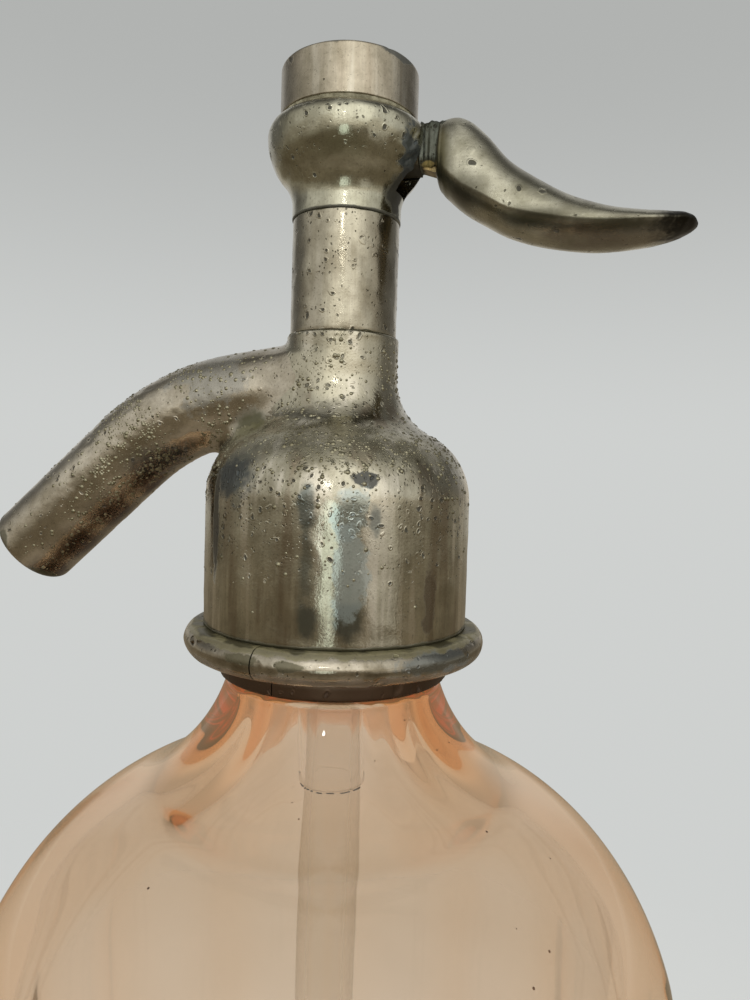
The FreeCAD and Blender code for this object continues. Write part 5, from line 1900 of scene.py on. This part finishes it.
@dataclass(frozen=True)
class Softbox:
    """An area light that looks at a point; its place and size are metres."""

    name: str
    place: Point
    size: tuple[float, float]
    power: float
    colour: Colour = (1.0, 1.0, 1.0)
    target: Point = (0.0, 0.0, 0.26)
    seen: bool = True
    shape: str = "RECTANGLE"

    def build(self) -> None:
        """Put the light into the scene; one that isn't seen has no mirror image."""
        lamp = bpy.data.lights.new(self.name, "AREA")
        lamp.shape = self.shape
        lamp.size, lamp.size_y = self.size
        lamp.energy = self.power
        lamp.color = self.colour
        light = stand(self.name, lamp)
        light.location = self.place
        away = Vector(self.place) - Vector(self.target)
        light.rotation_euler = away.to_track_quat("Z", "Y").to_euler()
        light.visible_glossy = self.seen
        light.visible_transmission = False


SOFTBOXES = (
    Softbox("front", (0.10, -0.90, 0.30), (0.30, 0.60), 3.0, seen=False),
    Softbox("window_strip", (0.133, -0.890, 0.13), (0.20, 0.30), 0.29, (0.87, 1.0, 0.98)),
    Softbox("window_side", (0.719, -0.542, 0.13), (0.42, 0.28), 0.15),
    Softbox("front_spot", (0.05, -0.40, 0.42), (0.02, 0.02), 0.02, shape="DISK"),
    Softbox("ceiling", (0.1, -0.2, 1.5), (1.2, 1.2), 9.0, seen=False),
)
PAPER = (0.62, 0.635, 0.625)


@dataclass
class Studio:
    """Camera, backdrop, floor and lights; near and the floor's two numbers are metres."""

    distance: float = 124.2
    height: float = 255.0
    turn: float = 15.0
    yaw: float = 0.0485
    pitch: float = 0.047
    roll: float = 0.031
    lens: float = 27.0
    sensor: float = 36.0
    near: float = 0.005
    bounces: int = 32
    floor_reach: float = 6.0
    floor_z: float = -0.0003

    def camera(self) -> None:
        """Stand the camera at the height of the bell and tilt it as it was held."""
        forward = np.array([math.sin(self.yaw) * math.cos(self.pitch),
                            math.cos(self.yaw) * math.cos(self.pitch), -math.sin(self.pitch)])
        right = np.cross(forward, [0.0, 0.0, 1.0])
        right /= np.linalg.norm(right)
        up = np.cross(right, forward)
        c, s = math.cos(self.roll), math.sin(self.roll)
        right, up = c * right + s * up, c * up - s * right
        a = math.radians(self.turn)
        spin = np.array([[math.cos(a), -math.sin(a), 0.0], [math.sin(a), math.cos(a), 0.0],
                         [0.0, 0.0, 1.0]])
        axes = [Vector(spin @ v) for v in (right, up, -forward)]
        place = Vector((self.distance * math.sin(a), -self.distance * math.cos(a),
                        self.height)) * MM
        data = bpy.data.cameras.new("camera")
        data.lens = self.lens
        data.sensor_width = self.sensor
        data.clip_start = self.near
        camera = stand("camera", data)
        camera.matrix_world = Matrix.Translation(place) @ Matrix(axes).transposed().to_4x4()
        bpy.context.scene.camera = camera

    def world(self) -> None:
        """Pale surroundings: a little darker overhead, and a dark lobe on each side of the front.

        Bearings are degrees round the vertical from the front. The camera and clear glass
        see the backdrop, metal sees the room and dull surfaces get one plain light.
        """
        world = bpy.data.worlds.new("surroundings")
        world.use_nodes = True
        world.cycles.sampling_method = "NONE"
        bpy.context.scene.world = world
        paint = Paint(world.node_tree)
        way = paint.node("ShaderNodeTexCoord").outputs["Generated"]
        x, y, z = paint.parts(way)
        a = math.radians(self.turn)
        front = x * math.sin(a) - y * math.cos(a)
        side = x * math.cos(a) + y * math.sin(a)
        bearing = side.maths("ARCTAN2", front) * (180.0 / math.pi)

        # the room above the horizon: bright in front and in a wide arc, dim overhead
        wide = bearing.step(-118.0, -72.0) * bearing.step(96.0, 62.0)
        upper = 0.24 + 0.72 * wide + 0.95 * (bearing - 2.0).size().step(58.0, 12.0)
        upper = upper * (1.0 - 0.55 * z.step(0.68, 0.98))
        # below it: a second pale lobe, and a lift behind the siphon
        second = (bearing - 38.0).size().step(30.0, 12.0)
        lower = 0.40 + 0.24 * second * z.step(-0.5, -0.2)
        rise = z.step(-0.1, 0.25)
        level = upper * rise + lower * (1.0 - rise)
        level = level.most(0.62 * bearing.size().step(120.0, 150.0) * z.step(-0.5, -0.1))
        tint = paint.mix(rise, (1.0, 0.89, 0.72), (1.0, 0.985, 0.945))
        room = paint.node("ShaderNodeVectorMath", {"operation": "SCALE"},
                          {0: tint, "Scale": level}).outputs[0]

        # rays that went through glass find the backdrop shaded on both sides
        rays = paint.node("ShaderNodeLightPath").outputs
        through = Value(paint, rays["Is Transmission Ray"])
        plain = paint.mix(rays["Is Diffuse Ray"], room, (0.75, 0.75, 0.73))
        shade = (bearing.step(-118.0, -95.0) * bearing.step(-40.0, -70.0) * 0.5).most(
            bearing.step(15.0, 50.0) * bearing.step(128.0, 100.0))
        backdrop = paint.mix(z.step(0.02, 0.5), PAPER, (0.44, 0.45, 0.44))
        backdrop = paint.mix(shade * through * 0.8, backdrop, (0.12, 0.09, 0.07))
        clear = Value(paint, rays["Is Camera Ray"]).most(through)
        colour = paint.mix(clear, plain, backdrop)
        shader = paint.node("ShaderNodeBackground", inputs={"Color": colour, "Strength": 1.0})
        paint.node("ShaderNodeOutputWorld", inputs={"Surface": shader.outputs[0]})

    def floor(self) -> None:
        """A wide pale floor that fades into the backdrop away from the siphon; seen in a
        reflection it is painted darker and warmer, most of all near the siphon.
        """
        mesh = bpy.data.meshes.new("floor")
        reach, z = self.floor_reach, self.floor_z
        mesh.from_pydata([(-reach, -reach, z), (reach, -reach, z), (reach, reach, z),
                          (-reach, reach, z)], [], [(0, 1, 2, 3)])
        floor = stand("floor", mesh)
        paint = Paint.material("floor_paper")
        place = paint.place()
        length = paint.length(place)
        mottle = paint.mix(paint.noise(place, 30.0), (0.60, 0.61, 0.60), (0.63, 0.64, 0.63))
        rays = paint.node("ShaderNodeLightPath").outputs
        # painted reflection: rays from a reflection see darker, warmer paper and glow than the
        # camera does
        glossy = (Value(paint, rays["Is Glossy Ray"])
                  * (1.0 - Value(paint, rays["Is Transmission Ray"])))
        paper = paint.node("ShaderNodeBsdfPrincipled", inputs={
            "Base Color": paint.mix(glossy, mottle, (0.34, 0.29, 0.23)), "Roughness": 0.9})
        painted_reflection = paint.mix(length.step(0.9, 4.0), (0.26, 0.215, 0.15), (0.47, 0.44, 0.37))
        painted_glow = paint.node("ShaderNodeEmission", inputs={
            "Color": paint.mix(glossy, PAPER, painted_reflection)})
        shader = paint.node("ShaderNodeMixShader", inputs={
            0: length.step(0.12, 0.45), 1: paper.outputs[0], 2: painted_glow.outputs[0]})
        mesh.materials.append(paint.finish(shader.outputs[0]))

    def build(self) -> None:
        """Set everything up."""
        scene = bpy.context.scene
        scene.view_settings.view_transform = "Standard"
        scene.cycles.max_bounces = self.bounces
        scene.cycles.transmission_bounces = self.bounces
        self.camera()
        self.world()
        self.floor()
        for box in SOFTBOXES:
            box.build()


# ---- Looks of every finish ----

OLIVE = (0.050, 0.045, 0.020)
SLATE = (0.050, 0.060, 0.062)
# soot in joints, and painted shade in and round the lever's slot
SOOT_AND_SHADE = (0.020, 0.018, 0.013)
# dark bars of a painted reflection on the bell's front
PAINTED_DARK_REFLECTION = (0.11, 0.13, 0.125)
# painted shade in a band along the lever's flank
PAINTED_SHADE_BAND = (0.050, 0.045, 0.026)
UMBER = (0.045, 0.029, 0.021)
BEAD_DIRT = (0.09, 0.08, 0.045)

# the bell: slate veil, painted reflections on the front (dark bars with pale ones between),
# crease under the spout, pale neck
BELL_PATCHES = (
    Patch((-11.2, -17.4, 253.4), (6.0, 6.0, 5.0), SLATE, 0.85, 0.35, 1.2, 0.1, 0.6),
    Patch((8.7, -19.1, 253.0), (1.9, 2.5, 1.0), (0.03, 0.032, 0.03), 0.9, 0.4, 1.3),
    Patch((1.3, -21.4, 248.9), (1.6, 2.5, 4.4), PAINTED_DARK_REFLECTION, 0.8, 0.2, 0.8, 0.0, 0.6),
    Patch((7.2, -20.3, 248.2), (2.6, 2.5, 4.0), (0.30, 0.34, 0.32), 0.8, 0.16, 1.0, 0.0),
    Patch((10.4, -18.8, 247.2), (1.0, 2.5, 2.8), PAINTED_DARK_REFLECTION, 0.7, 0.2, 0.8, 0.0, 0.6),
    Patch((1.5, -21.4, 232.8), (2.0, 2.5, 3.2), PAINTED_DARK_REFLECTION, 0.8, 0.2, 0.8, 0.0, 0.6),
    Patch((7.4, -20.3, 233.2), (2.9, 2.5, 3.2), PAINTED_DARK_REFLECTION, 0.75, 0.2, 0.9, 0.0, 0.6),
    Patch((1.3, -21.4, 240.6), (1.5, 2.5, 6.5), PAINTED_DARK_REFLECTION, 0.6, 0.2, 1.0, 0.0, 0.6),
    Patch((7.3, -20.3, 240.6), (2.7, 2.5, 7.5), (0.24, 0.27, 0.25), 0.7, 0.2, 1.0, 0.5),
    Patch((-14.6, -15.8, 246.0), (1.1, 1.3, 9.0), (0.020, 0.016, 0.009), 0.95, 0.55, 0.7, 0.8),
    Patch((-13.0, -9.5, 260.6), (4.5, 6.0, 3.6), (0.085, 0.078, 0.036), 1.0, 0.5, 0.4, 0.8, 0.5),
    Patch((17.5, -12.6, 236.0), (1.3, 1.5, 5.0), (0.10, 0.07, 0.04), 0.8, 0.4, 1.0, 0.2),
    Patch((0.0, 0.0, 270.0), (15.0, 15.0, 9.0), (0.36, 0.335, 0.25), 0.7, 0.22, 0.6, 0.0, 0.5),
    Patch((0.0, -8.0, 257.5), (26.0, 16.0, 4.0), (0.19, 0.175, 0.11), 0.4, 0.4, 0.8),
)

# the spout: veil at its root, crease, shaded underside, dirt round the tip
SPOUT_PATCHES = (
    Patch((-20.0, -4.0, 268.0), (7.0, 7.0, 6.0), (0.17, 0.175, 0.165), 0.5, 0.35, 1.2),
    Patch((-13.0, -9.0, 260.6), (4.5, 6.0, 3.6), (0.07, 0.064, 0.03), 1.0, 0.5, 0.4, 0.8, 0.5),
    *(Patch((x, -3.5, z), (6.2, 7.0, 5.6), UMBER, 0.9, 0.3, 0.5, 0.0, 0.7)
      for x, z in ((-51.0, 232.6), (-44.5, 238.6), (-38.0, 244.6), (-31.5, 250.0))),
    Patch((-28.0, -5.0, 254.5), (9.0, 6.0, 3.6), (0.045, 0.036, 0.026), 0.9, 0.3, 0.5, 0.2, 0.7),
    Patch((-61.6, -3.0, 243.0), (2.0, 7.0, 2.2), OLIVE, 0.8, 0.5, 0.5),
    Patch((-58.2, -6.5, 238.6), (1.5, 4.0, 3.6), OLIVE, 0.8, 0.5, 0.5),
    Patch((-53.4, -4.0, 233.4), (2.2, 7.0, 2.2), OLIVE, 0.8, 0.5, 0.5),
)

# the housing: crust beside the lever, soot and painted shade at the foot of the lever's slot,
# painted shade on the left flank, two broad bands of painted shade across the front
HOUSING_PATCHES = (
    Patch((12.3, -5.2, 301.6), (3.0, 3.4, 4.2), (0.042, 0.050, 0.052), 0.9, 0.5, 1.6),
    Patch((10.0, -3.0, 297.5), (3.6, 3.2, 3.5), SOOT_AND_SHADE, 0.9, 0.7),
    Patch((-9.5, -9.5, 299.5), (3.5, 5.0, 6.0), (0.15, 0.135, 0.085), 0.6, 0.26, 1.0, 0.1, 0.8),
    Patch((3.5, -12.8, 297.4), (7.0, 4.0, 1.9), (0.13, 0.13, 0.085), 0.6, 0.26, 1.0, 0.1, 0.7),
    Patch((2.0, -12.8, 301.6), (8.0, 4.0, 2.6), (0.20, 0.205, 0.14), 0.55, 0.22, 1.0, 0.0, 0.8),
)

# the collar: olive dirt at the bead's top; painted shade on its lower half; on the skirt painted
# dark brown shade and reflection, with a painted reddish reflection of the glass at its top
COLLAR_LINES = (
    Line(229.1, 0.40, (0.045, 0.040, 0.015), 0.9, 0.5),
    Line(228.6, 0.5, (0.17, 0.15, 0.07), 0.7, 0.9),
    Line(225.2, 0.9, (0.12, 0.085, 0.05), 0.7, 1.6),
    Line(221.2, 3.6, (0.085, 0.052, 0.033), 0.97, 0.3, 0.0),
    Line(223.5, 0.6, (0.10, 0.048, 0.024), 0.8, 0.7),
)

# the bead: brown wear at its front, and a painted darker blue-grey reflection on its right side
COLLAR_PATCHES = (
    Patch((-8.0, -23.0, 227.4), (4.0, 3.0, 0.9), BEAD_DIRT, 0.85, 0.4, 1.4, 0.2),
    Patch((0.5, -24.3, 227.3), (2.5, 3.0, 0.7), BEAD_DIRT, 0.85, 0.4, 1.4, 0.2),
    Patch((19.0, -15.0, 227.0), (6.0, 8.0, 1.6), (0.15, 0.165, 0.16), 0.7, 0.2, 1.2, 0.1),
)

# the lever: painted shade on its underside and in a dark band along its flank,
# warm painted shade along its top edge, olive root, dark tip
LEVER_PATCHES = (
    Patch((44.0, -4.5, 288.6), (15.0, 6.0, 3.6), (0.15, 0.125, 0.095), 0.7, 0.3, 0.9, 0.0, 0.6),
    Patch((19.5, -4.0, 296.4), (6.0, 5.0, 3.6), PAINTED_SHADE_BAND, 0.9, 0.3, 0.3, 0.2, 0.9),
    Patch((30.0, -6.0, 291.9), (9.0, 4.0, 2.2), PAINTED_SHADE_BAND, 0.95, 0.3, 0.3, 0.2, 0.9),
    Patch((42.0, -6.0, 290.5), (11.0, 4.0, 1.6), PAINTED_SHADE_BAND, 0.95, 0.3, 0.3, 0.2, 0.9),
    Patch((30.0, -3.0, 300.5), (9.0, 6.0, 2.2), (0.20, 0.185, 0.13), 0.5, 0.3, 0.6, 0.0, 0.9),
    Patch((15.6, -2.0, 302.0), (1.8, 8.0, 9.0), (0.10, 0.09, 0.045), 0.8, 0.35, 0.6, 0.1, 0.6),
    Patch((55.5, 0.0, 291.6), (9.5, 40.0, 6.5), (0.018, 0.016, 0.011), 1.0, 0.45, 0.5, 0.0, 0.5),
)

FINISHES = {
    "bottle": Glass("rose_glass"),
    # the tube's glass has a faint painted glow inside too; the sheath's has none
    "tube": Glass("tube_glass", (0.60, 0.52, 0.38), 120.0, (0.5, 0.5, 0.4), (1.0, 1.0, 1.0),
                  0.004, 0.02),
    "sheath": Glass("sheath_glass", (0.97, 0.95, 0.90), 15.0, (0.0, 0.0, 0.0), (1.0, 1.0, 1.0),
                    0.01, 0.05, 1.09),
    "dirt": Plain("dark_dirt", (0.13, 0.065, 0.030), (0.05, 0.027, 0.014), (0.7, 0.9)),
    "head": Metal(
        "head_tin", light=(0.465, 0.44, 0.345), tarnish=(0.25, 0.23, 0.165), pits=0.46,
        pit_size=1.2, pit_range=(250.0, 400.0), pit_fade=17.0, lumps=0.03, streaks=0.9,
        lines=(Line(275.5, 0.28, OLIVE), Line(229.1, 0.5, OLIVE, 0.9, 0.5)),
        patches=BELL_PATCHES),
    "spout": Metal(
        "spout_tin", light=(0.52, 0.475, 0.385), tarnish=(0.27, 0.235, 0.17),
        grain=Grain.CAST, pits=0.14, pit_size=1.3, lumps=0.03, patches=SPOUT_PATCHES),
    "crust": Metal(
        "blister_tin", light=(0.35, 0.33, 0.235), tarnish=(0.17, 0.155, 0.095),
        grain=Grain.CAST, pits=0.1, roughness=(0.26, 0.42)),
    "sleeve": Metal(
        "sleeve_tin", light=(0.42, 0.39, 0.30), pits=0.26, pit_size=1.4, streaks=0.3,
        lines=(Line(293.8, 0.2, OLIVE), Line(275.45, 0.2, OLIVE))),
    "housing": Metal(
        "housing_tin", light=(0.46, 0.45, 0.35), tarnish=(0.22, 0.205, 0.14), pits=0.36,
        pit_size=1.3, pit_range=(305.0, 400.0), pit_fade=9.0, lumps=0.02,
        roughness=(0.13, 0.25),
        lines=(Line(308.9, 0.25, (0.13, 0.115, 0.05), 0.7, 0.4),
               Line(293.9, 0.35, SOOT_AND_SHADE, 0.8, 0.4)),
        patches=HOUSING_PATCHES),
    "cap": Metal(
        "cap_tin", light=(0.415, 0.37, 0.285), pits=0.06, pit_size=2.2,
        roughness=(0.20, 0.32), grain_depth=0.008, streaks=0.6,
        lines=(Line(309.5, 0.2, (0.15, 0.13, 0.06), 0.7, 0.3),
               Line(317.4, 0.45, (0.05, 0.05, 0.045), 0.8)),
        patches=(Patch((9.0, -6.0, 317.3), (3.6, 4.5, 1.1), (0.06, 0.065, 0.06), 0.85, 0.5,
                       0.8),)),
    "collar": Metal(
        "collar_tin", light=(0.46, 0.42, 0.34), tarnish=(0.15, 0.125, 0.08),
        grain=Grain.ROUND, pits=0.22, pit_size=1.7, roughness=(0.08, 0.20),
        lines=COLLAR_LINES, patches=COLLAR_PATCHES),
    "lever": Metal(
        "lever_tin", light=(0.46, 0.445, 0.355), tarnish=(0.19, 0.18, 0.125),
        grain=Grain.LENGTHWISE, grain_depth=0.006, pits=0.12, pit_size=1.8,
        roughness=(0.20, 0.34), patches=LEVER_PATCHES),
    "root": Metal(
        "root_tin", light=(0.105, 0.115, 0.095), tarnish=(0.035, 0.040, 0.030),
        grain=Grain.CAST, pits=0.5, roughness=(0.4, 0.6),
        patches=(Patch((13.4, -2.5, 301.9), (1.2, 2.0, 0.6), (0.36, 0.28, 0.10), 0.85, 0.35,
                       0.5),)),
    "brass": Plain("old_brass", (0.56, 0.41, 0.17), (0.30, 0.21, 0.09), (0.25, 0.45), 1.0,
                   1.5, 0.01),
    # the tongue: painted shade, with soot, where it sits inside the housing's slot
    "tongue": Metal(
        "tongue_brass", light=(0.50, 0.36, 0.14), tarnish=(0.10, 0.085, 0.05),
        grain=Grain.CAST, pits=0.2, roughness=(0.3, 0.5),
        patches=(Patch((10.5, 0.0, 303.5), (2.6, 9.0, 9.0), SOOT_AND_SHADE, 0.9, 0.7),)),
    "rubber": Plain("old_rubber", (0.060, 0.038, 0.028), (0.030, 0.020, 0.015), (0.6, 0.85)),
    "washer": Plain("red_rubber", (0.17, 0.045, 0.030), (0.10, 0.030, 0.020), (0.6, 0.8)),
    "leather": Plain("greased_leather", (0.13, 0.075, 0.040), (0.06, 0.035, 0.020),
                     (0.5, 0.8), mottle=1.0, relief=0.03),
    "fibre": Plain("dark_fibre", (0.26, 0.235, 0.15), (0.09, 0.078, 0.04), (0.4, 0.6),
                   mottle=1.2),
    "liner": Plain("yellow_liner", (0.26, 0.20, 0.12), (0.16, 0.12, 0.07), (0.5, 0.7)),
    "wire": Plain("spring_wire", (0.34, 0.32, 0.29), (0.18, 0.16, 0.13), (0.25, 0.4), 1.0,
                  1.0, 0.005),
    "steel": Plain("pin_steel", (0.22, 0.21, 0.19), (0.10, 0.09, 0.08), (0.35, 0.6), 1.0,
                   1.0, 0.02),
}

CAD_LOOKS = {
    "collar_liner": "liner", "neck_gasket": "rubber", "mouth_bung": "rubber",
    "seat_washer": "leather", "valve_seat": "brass",
    "valve_washer": "washer", "valve_cup": "brass", "valve_rod": "brass",
    "spring_collar": "brass", "lift_nut": "brass",
    "gland_packing": "leather", "gland_nut": "brass", "lever_pin": "steel",
    "lever_tongue": "tongue",
}


def dress_nodes(looks: Looks) -> None:
    """Give the CAD nodes that stay their finishes.

    Args:
        looks: the finishes by word.
    """
    for node, word in CAD_LOOKS.items():
        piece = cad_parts[node]
        for slot in piece.material_slots:
            slot.material = looks[word]
        LOG.info("%s: CAD node in %s", node, word)


def main() -> None:
    """Build the studio, the finishes and every sub-assembly."""
    Studio().build()
    looks = {word: finish.material() for word, finish in FINISHES.items()}
    dress_nodes(looks)
    for assembly in (Bottle(), Head(), Collar(), Column(), Lever(), Spring()):
        assembly.build(looks)


if __name__ == "__main__":
    main()
